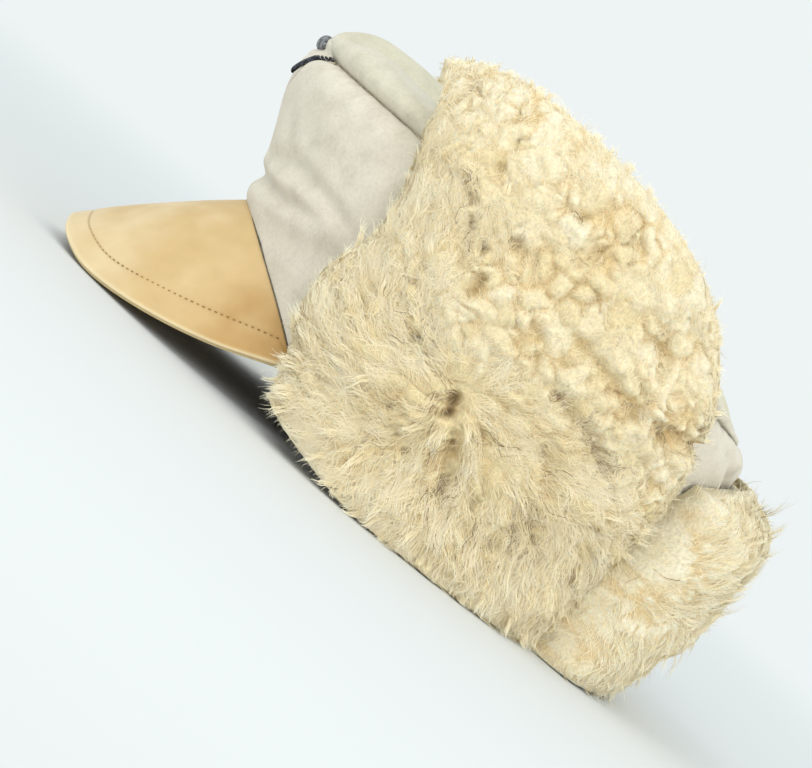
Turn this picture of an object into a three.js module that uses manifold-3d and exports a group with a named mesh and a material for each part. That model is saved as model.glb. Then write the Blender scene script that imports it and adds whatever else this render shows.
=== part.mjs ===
// Winter fur cap: a padded suede crown, a leather peak and three sheepskin flaps folded up,
// wool outwards. Millimetres, +Z up, the peak towards -Y, the wearer's left towards +X.
// The cap rests on the edge of its peak and on the flattened wool under its ear flaps, at z = 0.
// Angles run round the head from the middle of the front, positive towards the wearer's left.

import * as THREE from 'three';
import { mergeVertices } from 'three/addons/utils/BufferGeometryUtils.js';
import Module from 'manifold-3d';

const wasm = await Module();
wasm.setup();

const DEGREE = Math.PI / 180;
const SEAM_GAP = 0.35;
const SEAM_HALF_ANGLE = 0.18;

// Crown: outline of the padded wall, level by level, from the rim to the top seam.
const CROWN_WALL = 4;
const RIM_Z = 26.5;
const SEAM_Z = 129;
const CROWN_LEVELS = [
  { z: 26.5, front: -100, back: 98, side: 84 },
  { z: 45, front: -106, back: 104, side: 87 },
  { z: 65, front: -112.5, back: 109, side: 90 },
  { z: 86, front: -119.5, back: 115, side: 92.5 },
  { z: 104, front: -127.5, back: 117.5, side: 94 },
  { z: 117, front: -131, back: 115.5, side: 94 },
  { z: 125, front: -129.5, back: 112, side: 92 },
  { z: 129, front: -125, back: 109, side: 90 },
];
const TOP_LEVEL = CROWN_LEVELS[CROWN_LEVELS.length - 1];
const SEAM_DROP_AT_BACK = 11;
const SEAM_DIP_AT_BACK = 5;
const SEAM_DIP_HALF_ANGLE = 32;

// Peak root: the lower edge of the crown rises from the peak's corners to the middle of the front.
const ROOT_CENTRE_Z = 62.6;
const ROOT_CORNER_Z = 28.5;
const ROOT_HALF_ANGLE = 55.2;

// Top panel: a puffed edge over the seam, then a low crown with a soft valley along its middle.
const TOP_EDGE = [
  { inset: 0, lift: 0 },
  { inset: -2.6, lift: 0.26 },
  { inset: -1.6, lift: 0.56 },
  { inset: 5, lift: 0.82 },
  { inset: 17, lift: 0.98 },
  { inset: 30, lift: 1 },
];
const TOP_HEIGHTS = [
  { angle: 0, height: 20 },
  { angle: 50, height: 20.5 },
  { angle: 110, height: 17 },
  { angle: 180, height: 22 },
];
const TOP_EDGE_REACH = 0.55;
const TOP_CENTRE_Z = 143;
const TOP_CENTRE_Y = (TOP_LEVEL.front + TOP_LEVEL.back) / 2;
const VALLEY_DEPTH = 2.2;
const VALLEY_HALF_WIDTH = 16;
const VALLEY_START_REACH = 0.2;

// Front gusset: half its width at each share of the way from the lower edge to the seam.
const GUSSET_WIDTHS = [
  { share: 0.56, halfAngle: 0.6 },
  { share: 0.66, halfAngle: 4.5 },
  { share: 0.8, halfAngle: 10.5 },
  { share: 1, halfAngle: 17 },
];
const GUSSET_TIP_SHARE = 0.58;

// Peak: two plies from the root to an edge that is given by its height above the resting plane.
const PEAK_HALF_WIDTH = 72.2;
const PEAK_CORNER_Y = -56.4;
const PEAK_REACH = 105.6;
const PEAK_ROOT_DROP = 0.5;
const PEAK_ROOT_OUTSET = 0.8;
const PEAK_UPPER_PLY = 1.7;
const PEAK_UNDER_PLY = 1.5;
const PEAK_ARCH = 1.5;
const PEAK_EDGE = [
  { turn: -18, z: 4.5 },
  { turn: 0, z: 8 },
  { turn: 18, z: 4.5 },
  { turn: 35, z: 1.75 },
  { turn: 53, z: 4.8 },
  { turn: 72, z: 13 },
  { turn: 90, z: 26 },
];

// Flaps: where the sheepskin stands round the crown, its outline and how thick its wool is.
const FLAP_CLEARANCE = 3;
const FLAP_STAND_Z = 106;
const FLAP_LEAN = 0.14;
const FLAP_LEAN_Z = 118;
const EAR_FLAP = {
  edges: [
    { rise: 0, front: 63, rear: 144 },
    { rise: 0.3, front: 57, rear: 143.5 },
    { rise: 0.6, front: 64, rear: 138 },
    { rise: 0.85, front: 60, rear: 132 },
    { rise: 1, front: 55, rear: 128 },
  ],
  ends: [
    { along: 0, bottom: 16, top: 159 },
    { along: 0.12, bottom: 11, top: 169 },
    { along: 0.32, bottom: 4, top: 173 },
    { along: 0.55, bottom: -3, top: 170 },
    { along: 0.75, bottom: -7, top: 162 },
    { along: 0.9, bottom: -8, top: 148 },
    { along: 1, bottom: -7, top: 129 },
  ],
  wool: 26,
  rimWool: 8,
  undersideWool: 0.72,
  flare: 3,
  columns: 12,
  rows: 8,
  lockColumns: 8,
  lockRows: 7,
  lockLength: 31,
  lockWidth: 10,
  parting: 0.3,
  fan: 0.2,
};
const NECK_FLAP = {
  edges: [
    { rise: 0, front: 142, rear: 218 },
    { rise: 0.6, front: 142.5, rear: 217.5 },
    { rise: 1, front: 147, rear: 213 },
  ],
  ends: [
    { along: 0, bottom: -8, top: 93 },
    { along: 0.25, bottom: -2, top: 99 },
    { along: 0.5, bottom: 2, top: 100 },
    { along: 0.75, bottom: -2, top: 99 },
    { along: 1, bottom: -8, top: 93 },
  ],
  wool: 33,
  rimWool: 9,
  undersideWool: 0.6,
  flare: 15,
  columns: 10,
  rows: 6,
  lockColumns: 8,
  lockRows: 5,
  lockLength: 25,
  lockWidth: 9.5,
  parting: 0.3,
  fan: 0.3,
};
const FLAP_PARTING_ANGLE = 143;
const WOOL_GAP = 0.6;
const WOOL_SEED = 41;
const CUSHION_SHARE = { least: 0.76, variation: 0.14 };

// Locks: where they stand on a flap, how they turn from its comb line, and the taper of one.
const LOCK_ALONG = { first: 0.03, last: 0.97 };
const LOCK_RISE = { first: 0.03, last: 0.9 };
const LOCK_SHIFT = { row: 0.2, scatter: 0.4 };
const LOCK_ROOT_DEPTH = 0.84;
const LOCK_TURN = { combRise: 0.3, mixing: 1.3, leastComb: 0.5, sideways: 0.7, outwards: 0.1 };
const LOCK_SIZE = { least: 0.85, variation: 0.3 };
const LOCK_FLATNESS = 0.5;
const LOCK_SIDES = 4;
const LOCK_STATIONS = [
  { share: 0.25, width: 0.95, lift: 0.01 },
  { share: 0.62, width: 0.85, lift: 0.07 },
];
const BELOW_FLOOR = 20;
const BLOCK_SIZE = 600;

// Badge: a stitched oval ring on the top seam, with a small knot in its middle.
const BADGE_HALF_ANGLE = 15;
const BADGE_REACH = 14;
const BADGE_STITCH_WIDTH = 3;
const BADGE_STITCH_HEIGHT = 1.1;
const BADGE_STAND_OFF = 1.4;
const BADGE_STEPS = 24;
const BADGE_SECTION = [
  { across: -1, up: 0 },
  { across: 1, up: 0 },
  { across: 0.6, up: 1 },
  { across: -0.6, up: 1 },
];
const BADGE_CENTRE = new THREE.Vector3(0, -60, 112);
const BADGE_TOP_RUN = 45;
const KNOT_RADIUS = 4.6;
const KNOT_HEIGHT = 2.6;
const KNOT_EDGE = 0.4;
const KNOT_SIDES = 14;
const KNOT_Y = -130.1;
const KNOT_Z = 129;
const KNOT_TURN = 81;

const SUEDE = { color: 0xd9d2c3, roughness: 0.95, metalness: 0 };
const PEAK_LEATHER = { color: 0xdcbc82, roughness: 0.55, metalness: 0 };
const WOOL = { color: 0xe6d7ab, roughness: 1, metalness: 0 };
const DARK_THREAD = { color: 0x23242b, roughness: 0.6, metalness: 0 };
const GREY_THREAD = { color: 0x77797c, roughness: 0.8, metalness: 0 };

// Smooth reading of a column between the rows of a table.
function readTable(rows, key, at, column) {
  const last = rows.length - 1;
  if (at <= rows[0][key]) return rows[0][column];
  if (at >= rows[last][key]) return rows[last][column];
  const next = rows.findIndex((row) => row[key] > at);
  const before = rows[Math.max(next - 2, 0)];
  const low = rows[next - 1];
  const high = rows[next];
  const after = rows[Math.min(next + 1, last)];
  const span = high[key] - low[key];
  const slopeLow = (high[column] - before[column]) / (high[key] - before[key]);
  const slopeHigh = (after[column] - low[column]) / (after[key] - low[key]);
  const t = (at - low[key]) / span;
  const t2 = t * t;
  const t3 = t2 * t;
  const held = low[column] * (2 * t3 - 3 * t2 + 1) + high[column] * (3 * t2 - 2 * t3);
  return held + span * (slopeLow * (t3 - 2 * t2 + t) + slopeHigh * (t3 - t2));
}

// Repeatable stream of numbers from 0 to 1.
function makeRandom(seed) {
  let state = seed;
  return () => {
    state = (state * 1664525 + 1013904223) % 4294967296;
    return state / 4294967296;
  };
}

// Point of the crown's outline at a level of the table, pushed out by an offset.
function ringPoint(level, angle, z, outset = 0) {
  const front = readTable(CROWN_LEVELS, 'z', level, 'front') - outset;
  const back = readTable(CROWN_LEVELS, 'z', level, 'back') + outset;
  const side = readTable(CROWN_LEVELS, 'z', level, 'side') + outset;
  const middle = (front + back) / 2;
  const turn = angle * DEGREE;
  return new THREE.Vector3(
    side * Math.sin(turn),
    middle - ((back - front) / 2) * Math.cos(turn),
    z,
  );
}

// Height of the crown's lower edge: the rim, rising where the peak is sewn on.
function lowerEdgeZ(angle) {
  const share = Math.abs(angle) / ROOT_HALF_ANGLE;
  const root = ROOT_CENTRE_Z - (ROOT_CENTRE_Z - ROOT_CORNER_Z) * share * share;
  return Math.max(RIM_Z, root);
}

// Height of the seam between walls and top: it drops towards the back and dips in its middle.
function seamZ(angle) {
  const backShare = (1 - Math.cos(angle * DEGREE)) / 2;
  const fromBack = (180 - Math.abs(angle)) / SEAM_DIP_HALF_ANGLE;
  const dip = SEAM_DIP_AT_BACK * Math.exp(-fromBack * fromBack);
  return SEAM_Z - SEAM_DROP_AT_BACK * backShare * backShare - dip;
}

// Outer face of the wall: share 0 at its lower edge, 1 at the seam.
function wallPoint(angle, share) {
  const low = lowerEdgeZ(angle);
  const high = seamZ(angle);
  const z = low + (high - low) * share;
  const level = z + (SEAM_Z - high) * share;
  return ringPoint(level, angle, z);
}

// Outer face of the top panel: reach 0 at the seam, 1 at the middle of the top.
function topPoint(angle, reach) {
  const turned = Math.abs(angle > 180 ? angle - 360 : angle);
  const edgeInset = TOP_EDGE[TOP_EDGE.length - 1].inset;
  const seam = ringPoint(SEAM_Z, angle, seamZ(turned));
  const height = readTable(TOP_HEIGHTS, 'angle', turned, 'height');
  const inward = new THREE.Vector3(0, TOP_CENTRE_Y, seam.z).sub(seam);
  const radius = inward.length();
  inward.normalize();
  const t = (reach - TOP_EDGE_REACH) / (1 - TOP_EDGE_REACH);
  let inset = edgeInset + (radius - edgeInset) * t;
  let z = seam.z + height;
  if (reach < TOP_EDGE_REACH) {
    const stops = TOP_EDGE.map((row, index) => ({
      ...row,
      reach: (TOP_EDGE_REACH * index) / (TOP_EDGE.length - 1),
    }));
    inset = readTable(stops, 'reach', reach, 'inset');
    z = seam.z + height * readTable(stops, 'reach', reach, 'lift');
  } else {
    z += (TOP_CENTRE_Z - z) * t * t * (3 - 2 * t);
  }
  const point = seam.clone().addScaledVector(inward, inset).setZ(z);
  const across = point.x / VALLEY_HALF_WIDTH;
  const rolledOver = THREE.MathUtils.smoothstep(reach, VALLEY_START_REACH, TOP_EDGE_REACH);
  point.z -= VALLEY_DEPTH * rolledOver * Math.exp(-across * across);
  return point.setZ(point.z + SEAM_GAP);
}

// Unit normal of a surface given by two running values.
function normalOf(surface, u, v, step = 1e-3) {
  const alongU = surface(u + step, v).sub(surface(u - step, v));
  const alongV = surface(u, v + step).sub(surface(u, v - step));
  return alongU.cross(alongV).normalize();
}

function geometryOf(points, triangles) {
  const geometry = new THREE.BufferGeometry();
  const numbers = points.flatMap((point) => point.toArray());
  geometry.setAttribute('position', new THREE.Float32BufferAttribute(numbers, 3));
  geometry.setIndex(triangles);
  geometry.computeVertexNormals();
  return geometry;
}

// Closed sheet between two faces, each a grid of (columns + 1) by (rows + 1) points.
function sheetBetween(outerAt, innerAt, columns, rows) {
  const points = [];
  for (const faceAt of [outerAt, innerAt]) {
    for (let j = 0; j <= rows; j += 1) {
      for (let i = 0; i <= columns; i += 1) points.push(faceAt(i / columns, j / rows));
    }
  }
  const layer = (columns + 1) * (rows + 1);
  const at = (i, j, face) => face * layer + j * (columns + 1) + i;
  const triangles = [];
  const quad = (a, b, c, d) => triangles.push(a, b, c, a, c, d);
  for (let j = 0; j < rows; j += 1) {
    for (let i = 0; i < columns; i += 1) {
      quad(at(i, j, 0), at(i + 1, j, 0), at(i + 1, j + 1, 0), at(i, j + 1, 0));
      quad(at(i, j, 1), at(i, j + 1, 1), at(i + 1, j + 1, 1), at(i + 1, j, 1));
    }
  }
  for (let i = 0; i < columns; i += 1) {
    quad(at(i, 0, 1), at(i + 1, 0, 1), at(i + 1, 0, 0), at(i, 0, 0));
    quad(at(i, rows, 0), at(i + 1, rows, 0), at(i + 1, rows, 1), at(i, rows, 1));
  }
  for (let j = 0; j < rows; j += 1) {
    quad(at(0, j, 0), at(0, j + 1, 0), at(0, j + 1, 1), at(0, j, 1));
    quad(at(columns, j, 1), at(columns, j + 1, 1), at(columns, j + 1, 0), at(columns, j, 0));
  }
  return geometryOf(points, triangles);
}

// Sheet of even thickness under a surface whose normals point out.
function sheetUnder(surface, depthFrom, depthTo, columns, rows) {
  const faceAt = (depth) => (u, v) => {
    return surface(u, v).addScaledVector(normalOf(surface, u, v), -depth);
  };
  return sheetBetween(faceAt(depthFrom), faceAt(depthTo), columns, rows);
}

// Side panel: from the middle of the front, round the gusset, to the middle of the back.
function sidePanel(side) {
  const gussetEdge = (share) => {
    if (share < GUSSET_WIDTHS[0].share) return 0;
    return readTable(GUSSET_WIDTHS, 'share', share, 'halfAngle');
  };
  const surface = (u, v) => {
    const from = gussetEdge(v) + SEAM_HALF_ANGLE;
    const to = 180 - SEAM_HALF_ANGLE;
    const run = side > 0 ? u : 1 - u;
    return wallPoint(side * (from + (to - from) * run), v);
  };
  return sheetUnder(surface, 0, CROWN_WALL, 26, 7);
}

function frontGusset() {
  const surface = (u, v) => {
    const share = GUSSET_TIP_SHARE + (1 - GUSSET_TIP_SHARE) * v;
    const reach = readTable(GUSSET_WIDTHS, 'share', share, 'halfAngle') - 2 * SEAM_HALF_ANGLE;
    return wallPoint((2 * u - 1) * reach, share);
  };
  return sheetUnder(surface, 0, CROWN_WALL, 5, 6);
}

// Top panel: rings from the seam to the middle, an outer and an inner face joined at the seam.
function topPanel() {
  const sides = 32;
  const rings = 9;
  const points = [];
  const triangles = [];
  for (const depth of [0, CROWN_WALL]) {
    for (let j = 0; j < rings; j += 1) {
      for (let i = 0; i < sides; i += 1) {
        const angle = (360 * i) / sides;
        const reach = j / rings;
        const normal = normalOf(topPoint, angle, reach);
        points.push(topPoint(angle, reach).addScaledVector(normal, -depth));
      }
    }
    const middle = topPoint(0, 1);
    points.push(middle.setZ(middle.z - depth));
  }
  const layer = sides * rings + 1;
  const at = (i, j, face) => face * layer + j * sides + (i % sides);
  const quad = (a, b, c, d) => triangles.push(a, b, c, a, c, d);
  for (let i = 0; i < sides; i += 1) {
    for (let j = 0; j < rings - 1; j += 1) {
      quad(at(i, j, 0), at(i + 1, j, 0), at(i + 1, j + 1, 0), at(i, j + 1, 0));
      quad(at(i, j, 1), at(i, j + 1, 1), at(i + 1, j + 1, 1), at(i + 1, j, 1));
    }
    triangles.push(at(i, rings - 1, 0), at(i + 1, rings - 1, 0), layer - 1);
    triangles.push(at(i + 1, rings - 1, 1), at(i, rings - 1, 1), 2 * layer - 1);
    quad(at(i, 0, 1), at(i + 1, 0, 1), at(i + 1, 0, 0), at(i, 0, 0));
  }
  return geometryOf(points, triangles);
}

// Upper face of the peak: u from the right corner to the left, v from the edge to the root.
function peakPoint(u, v) {
  const share = 2 * u - 1;
  const rootAngle = share * ROOT_HALF_ANGLE;
  const rootZ = lowerEdgeZ(rootAngle);
  const root = ringPoint(rootZ, rootAngle, rootZ - PEAK_ROOT_DROP, PEAK_ROOT_OUTSET);
  const turn = Math.abs(share) * 90;
  const edge = new THREE.Vector3(
    Math.sign(share) * PEAK_HALF_WIDTH * Math.sin(turn * DEGREE),
    PEAK_CORNER_Y - PEAK_REACH * Math.cos(turn * DEGREE),
    readTable(PEAK_EDGE, 'turn', turn, 'z'),
  );
  const arch = PEAK_ARCH * Math.SQRT1_2 * Math.sin(Math.PI * v) * (1 - share * share);
  return edge.lerp(root, v).add(new THREE.Vector3(0, -arch, arch));
}

function peakPly(depthFrom, thickness) {
  return sheetUnder(peakPoint, depthFrom, depthFrom + thickness, 22, 4);
}

// Merged solid for joining and cutting.
function solidOf(geometry) {
  const bare = geometry.clone();
  bare.deleteAttribute('normal');
  bare.deleteAttribute('uv');
  const merged = mergeVertices(bare, 1e-4);
  return new wasm.Manifold(new wasm.Mesh({
    numProp: 3,
    vertProperties: merged.attributes.position.array,
    triVerts: new Uint32Array(merged.index.array),
  }));
}

// Outermost shell of a solid, so that no pocket stays closed in between the locks.
function geometryOfSolid(solid) {
  const bodies = solid.decompose();
  const body = bodies.reduce((best, one) => (one.volume() > best.volume() ? one : best));
  const mesh = body.getMesh();
  const numbers = new Float32Array(mesh.vertProperties);
  const geometry = new THREE.BufferGeometry();
  geometry.setAttribute('position', new THREE.BufferAttribute(numbers, 3));
  geometry.setIndex([...mesh.triVerts]);
  geometry.computeVertexNormals();
  return geometry;
}

// Point of a flap: along 0 to 1 round the head, rise 0 to 1 upwards, at a depth of wool.
function flapPoint(flap, along, rise, outset) {
  const from = readTable(flap.edges, 'rise', rise, 'front');
  const to = readTable(flap.edges, 'rise', rise, 'rear');
  const bottom = readTable(flap.ends, 'along', along, 'bottom');
  const top = readTable(flap.ends, 'along', along, 'top');
  const z = bottom + (top - bottom) * rise;
  const lean = FLAP_LEAN * Math.max(0, z - FLAP_LEAN_Z);
  const angle = from + (to - from) * along;
  return ringPoint(Math.min(z, FLAP_STAND_Z), angle, z, FLAP_CLEARANCE - lean + outset);
}

// Depth of the wool: full in the middle, thin at the sides and the top, rounded underneath.
function woolDepth(flap, along, rise) {
  const acrossShare = Math.abs(2 * along - 1) ** 6;
  const upShare = Math.abs(2 * rise - 1) ** 4;
  const kept = rise < 0.5 ? flap.undersideWool : 0;
  const full = Math.sqrt(1 - acrossShare) * Math.sqrt(1 - upShare * (1 - kept * kept));
  return flap.rimWool + (flap.wool - flap.rimWool + flap.flare * (1 - rise)) * full;
}

// Wool without its locks: a thick cushion on the flap's skin, with a lumpy face.
function woolCushion(flap, random) {
  const bumps = Array.from({ length: (flap.columns + 1) * (flap.rows + 1) }, () => random());
  const outer = (u, v) => {
    const bump = bumps[Math.round(v * flap.rows) * (flap.columns + 1) + Math.round(u * flap.columns)];
    const share = CUSHION_SHARE.least + CUSHION_SHARE.variation * bump;
    return flapPoint(flap, u, v, woolDepth(flap, u, v) * share);
  };
  return sheetBetween(outer, (u, v) => flapPoint(flap, u, v, 0), flap.columns, flap.rows);
}

// One lock: a flattened, bent taper from a root inside the cushion to a free tip.
function woolLock(root, heading, outward, length, width) {
  const sideways = heading.clone().cross(outward).normalize();
  const sides = LOCK_SIDES;
  const points = [];
  const triangles = [];
  for (const station of LOCK_STATIONS) {
    const centre = root.clone().addScaledVector(heading, length * station.share)
      .addScaledVector(outward, length * station.lift);
    const reach = width * station.width;
    for (let k = 0; k < sides; k += 1) {
      const turn = (2 * Math.PI * k) / sides;
      points.push(centre.clone()
        .addScaledVector(sideways, reach * Math.cos(turn))
        .addScaledVector(outward, LOCK_FLATNESS * reach * Math.sin(turn)));
    }
  }
  const tip = points.push(root.clone().addScaledVector(heading, length)) - 1;
  const foot = points.push(root.clone()) - 1;
  for (let k = 0; k < sides; k += 1) {
    const next = (k + 1) % sides;
    triangles.push(foot, k, next);
    for (let j = 0; j < LOCK_STATIONS.length - 1; j += 1) {
      const low = j * sides;
      triangles.push(low + k, low + sides + k, low + sides + next);
      triangles.push(low + k, low + sides + next, low + next);
    }
    const high = (LOCK_STATIONS.length - 1) * sides;
    triangles.push(high + k, tip, high + next);
  }
  return geometryOf(points, triangles);
}

// Closed solid of everything inside the crown's outer face, down to below the resting plane.
function crownKeepOut() {
  const sides = 44;
  const rings = [];
  const wallStops = [0, 0.25, 0.5, 0.7, 0.85, 0.93, 1];
  const topStops = [0.1, 0.2, 0.3, 0.45, 0.6, 0.8];
  rings.push((angle) => ringPoint(RIM_Z, angle, -BELOW_FLOOR, 2 * WOOL_GAP));
  rings.push((angle) => ringPoint(RIM_Z, angle, RIM_Z - CROWN_WALL, 2 * WOOL_GAP));
  for (const stop of wallStops) {
    rings.push((angle) => {
      const z = RIM_Z + (seamZ(angle) - RIM_Z) * stop;
      return ringPoint(z + (SEAM_Z - seamZ(angle)) * stop, angle, z, WOOL_GAP);
    });
  }
  for (const stop of topStops) {
    rings.push((angle) => {
      return topPoint(angle, stop).addScaledVector(normalOf(topPoint, angle, stop), WOOL_GAP);
    });
  }
  const points = rings.flatMap((ring) => Array.from({ length: sides }, (_, i) => {
    const angle = (360 * i) / sides;
    return ring(angle > 180 ? angle - 360 : angle);
  }));
  const top = points.push(topPoint(0, 1).add(new THREE.Vector3(0, 0, WOOL_GAP))) - 1;
  const foot = points.push(new THREE.Vector3(0, 0, -BELOW_FLOOR)) - 1;
  const triangles = [];
  for (let i = 0; i < sides; i += 1) {
    const next = (i + 1) % sides;
    for (let j = 0; j < rings.length - 1; j += 1) {
      const low = j * sides;
      triangles.push(low + i, low + next, low + sides + next);
      triangles.push(low + i, low + sides + next, low + sides + i);
    }
    const high = (rings.length - 1) * sides;
    triangles.push(high + i, high + next, top);
    triangles.push(next, i, foot);
  }
  return solidOf(geometryOf(points, triangles));
}

// Large block whose face passes through the head's axis at an angle and looks along it.
function sideBlock(angle, gapSide) {
  const block = new THREE.BoxGeometry(BLOCK_SIZE, BLOCK_SIZE, BLOCK_SIZE);
  block.translate(0, 0, gapSide * (BLOCK_SIZE / 2 - WOOL_GAP));
  const partingPoint = ringPoint(FLAP_STAND_Z, angle, 0);
  const inside = ringPoint(FLAP_STAND_Z, angle, 0, -CROWN_WALL);
  const outward = partingPoint.clone().sub(inside).normalize();
  const across = new THREE.Vector3(outward.y, -outward.x, 0);
  block.applyMatrix4(new THREE.Matrix4().makeBasis(outward, new THREE.Vector3(0, 0, 1), across));
  block.translate(partingPoint.x, partingPoint.y, 0);
  return solidOf(block);
}

function floorBlock() {
  const block = new THREE.BoxGeometry(BLOCK_SIZE, BLOCK_SIZE, 2 * BELOW_FLOOR);
  block.translate(0, 0, -BELOW_FLOOR);
  return solidOf(block);
}

// Flap: a cushion of wool with locks in rows, combed away from the fold at the rim.
function woolFlap(flap, random, cutters) {
  const centred = () => random() - 0.5;
  const sized = (size) => size * (LOCK_SIZE.least + LOCK_SIZE.variation * random());
  let body = solidOf(woolCushion(flap, random));
  for (let j = 0; j < flap.lockRows; j += 1) {
    for (let i = 0; i < flap.lockColumns; i += 1) {
      const shift = LOCK_SHIFT.scatter * centred() + LOCK_SHIFT.row * (j % 2 ? 1 : -1);
      const column = (i + 0.5 + shift) / flap.lockColumns;
      const row = (j + 0.5 + LOCK_SHIFT.scatter * centred()) / flap.lockRows;
      const along = THREE.MathUtils.lerp(LOCK_ALONG.first, LOCK_ALONG.last, column);
      const rise = THREE.MathUtils.lerp(LOCK_RISE.first, LOCK_RISE.last, row);
      const foot = flapPoint(flap, along, rise, 0);
      const root = flapPoint(flap, along, rise, woolDepth(flap, along, rise) * LOCK_ROOT_DEPTH);
      const outward = root.clone().sub(foot).normalize();
      const round = new THREE.Vector3(-outward.y, outward.x, 0).normalize();
      const upwards = (rise - flap.parting) / LOCK_TURN.combRise + LOCK_TURN.mixing * centred();
      const combed = Math.sign(upwards) * Math.max(Math.abs(upwards), LOCK_TURN.leastComb);
      const heading = new THREE.Vector3(0, 0, combed)
        .addScaledVector(round, flap.fan * (2 * along - 1) + LOCK_TURN.sideways * centred())
        .addScaledVector(outward, LOCK_TURN.outwards)
        .normalize();
      const lock = woolLock(root, heading, outward, sized(flap.lockLength), sized(flap.lockWidth));
      body = body.add(solidOf(lock));
    }
  }
  for (const cutter of cutters) body = body.subtract(cutter);
  return geometryOfSolid(body);
}

function mirrored(geometry) {
  const copy = geometry.clone().scale(-1, 1, 1);
  const index = copy.index.array;
  for (let k = 0; k < index.length; k += 3) [index[k], index[k + 1]] = [index[k + 1], index[k]];
  copy.computeVertexNormals();
  return copy;
}

// Place on the front of the crown, counted in mm up (plus) or down (minus) from the seam.
function badgePoint(angle, along, standOff) {
  const surface = along < 0
    ? (a, s) => wallPoint(a, 1 + s / (SEAM_Z - ROOT_CENTRE_Z))
    : (a, s) => topPoint(a, s / BADGE_TOP_RUN);
  const point = surface(angle, along);
  const outward = point.clone().sub(BADGE_CENTRE).normalize();
  return point.addScaledVector(outward, standOff);
}

// Stitched ring: a flat band round an oval, standing just off the suede.
function badgeRing() {
  const points = [];
  const triangles = [];
  for (let i = 0; i < BADGE_STEPS; i += 1) {
    const turn = (2 * Math.PI * i) / BADGE_STEPS;
    for (const { across, up } of BADGE_SECTION) {
      const grow = 1 + (across * BADGE_STITCH_WIDTH) / (2 * BADGE_REACH);
      points.push(badgePoint(
        BADGE_HALF_ANGLE * grow * Math.cos(turn),
        BADGE_REACH * grow * Math.sin(turn),
        BADGE_STAND_OFF + up * BADGE_STITCH_HEIGHT,
      ));
    }
  }
  const sides = BADGE_SECTION.length;
  for (let i = 0; i < BADGE_STEPS; i += 1) {
    const low = i * sides;
    const high = ((i + 1) % BADGE_STEPS) * sides;
    for (let k = 0; k < sides; k += 1) {
      const next = (k + 1) % sides;
      triangles.push(low + k, high + k, high + next, low + k, high + next, low + next);
    }
  }
  return geometryOf(points, triangles);
}

function badgeKnot() {
  const rows = 4;
  const profile = [new THREE.Vector2(0, 0), new THREE.Vector2(KNOT_RADIUS - KNOT_EDGE, 0)];
  for (let j = 0; j <= rows; j += 1) {
    const turn = (Math.PI / 2) * (j / rows);
    const radius = j === rows ? 0 : KNOT_RADIUS * Math.cos(turn);
    profile.push(new THREE.Vector2(radius, KNOT_EDGE + KNOT_HEIGHT * Math.sin(turn)));
  }
  return new THREE.LatheGeometry(profile, KNOT_SIDES);
}

const cap = new THREE.Group();

function addPiece(name, geometry, finish) {
  const bare = geometry.clone();
  bare.deleteAttribute('uv');
  bare.deleteAttribute('normal');
  const merged = mergeVertices(bare, 1e-4);
  merged.computeVertexNormals();
  const piece = new THREE.Mesh(merged, new THREE.MeshStandardMaterial(finish));
  piece.name = name;
  cap.add(piece);
  return piece;
}

addPiece('crown_side_panel_left', sidePanel(1), SUEDE);
addPiece('crown_side_panel_right', sidePanel(-1), SUEDE);
addPiece('crown_front_gusset', frontGusset(), SUEDE);
addPiece('crown_top_panel', topPanel(), SUEDE);
addPiece('peak_upper', peakPly(0, PEAK_UPPER_PLY), PEAK_LEATHER);
addPiece('peak_under', peakPly(PEAK_UPPER_PLY + SEAM_GAP, PEAK_UNDER_PLY), PEAK_LEATHER);

const random = makeRandom(WOOL_SEED);
const keepOut = crownKeepOut();
const floor = floorBlock();
const earFlap = woolFlap(EAR_FLAP, random, [keepOut, sideBlock(FLAP_PARTING_ANGLE, -1), floor]);
addPiece('ear_flap_left', earFlap, WOOL);
addPiece('ear_flap_right', mirrored(earFlap), WOOL);
const neckFlap = woolFlap(NECK_FLAP, random, [
  keepOut,
  sideBlock(FLAP_PARTING_ANGLE, 1),
  sideBlock(-FLAP_PARTING_ANGLE, -1),
  floor,
]);
addPiece('neck_flap', neckFlap, WOOL);

addPiece('front_badge', badgeRing(), DARK_THREAD);
const knot = addPiece('front_badge_knot', badgeKnot(), GREY_THREAD);
knot.position.set(0, KNOT_Y, KNOT_Z);
knot.rotation.x = KNOT_TURN * DEGREE;

// The origin is the middle of the cap's length, on the plane that it rests on.
const extent = new THREE.Box3().setFromObject(cap);
cap.position.y = -(extent.min.y + extent.max.y) / 2;

export default cap;
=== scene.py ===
"""Winter fur cap: a padded suede crown, a leather peak and sheepskin flaps folded up, wool outwards."""

import logging
import math
from dataclasses import dataclass
from enum import Enum
from typing import Callable, NamedTuple, Sequence

import bpy
import numpy as np
from mathutils import Matrix, Vector


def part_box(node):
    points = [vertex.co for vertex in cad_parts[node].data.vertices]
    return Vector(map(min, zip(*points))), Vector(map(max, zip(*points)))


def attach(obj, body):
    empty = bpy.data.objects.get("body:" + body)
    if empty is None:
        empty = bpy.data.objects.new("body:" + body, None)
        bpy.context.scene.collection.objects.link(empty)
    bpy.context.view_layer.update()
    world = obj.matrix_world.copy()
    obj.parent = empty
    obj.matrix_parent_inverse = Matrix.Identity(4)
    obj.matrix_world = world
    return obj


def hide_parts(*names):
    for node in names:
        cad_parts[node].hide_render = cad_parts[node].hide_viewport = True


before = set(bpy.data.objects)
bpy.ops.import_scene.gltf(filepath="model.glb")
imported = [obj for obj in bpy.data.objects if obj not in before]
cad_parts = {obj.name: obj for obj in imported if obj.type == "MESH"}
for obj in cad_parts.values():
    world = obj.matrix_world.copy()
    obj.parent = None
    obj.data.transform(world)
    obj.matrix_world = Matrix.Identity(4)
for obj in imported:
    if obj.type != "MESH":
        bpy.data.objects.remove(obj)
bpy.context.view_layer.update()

LOG = logging.getLogger("winter_cap")
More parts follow.
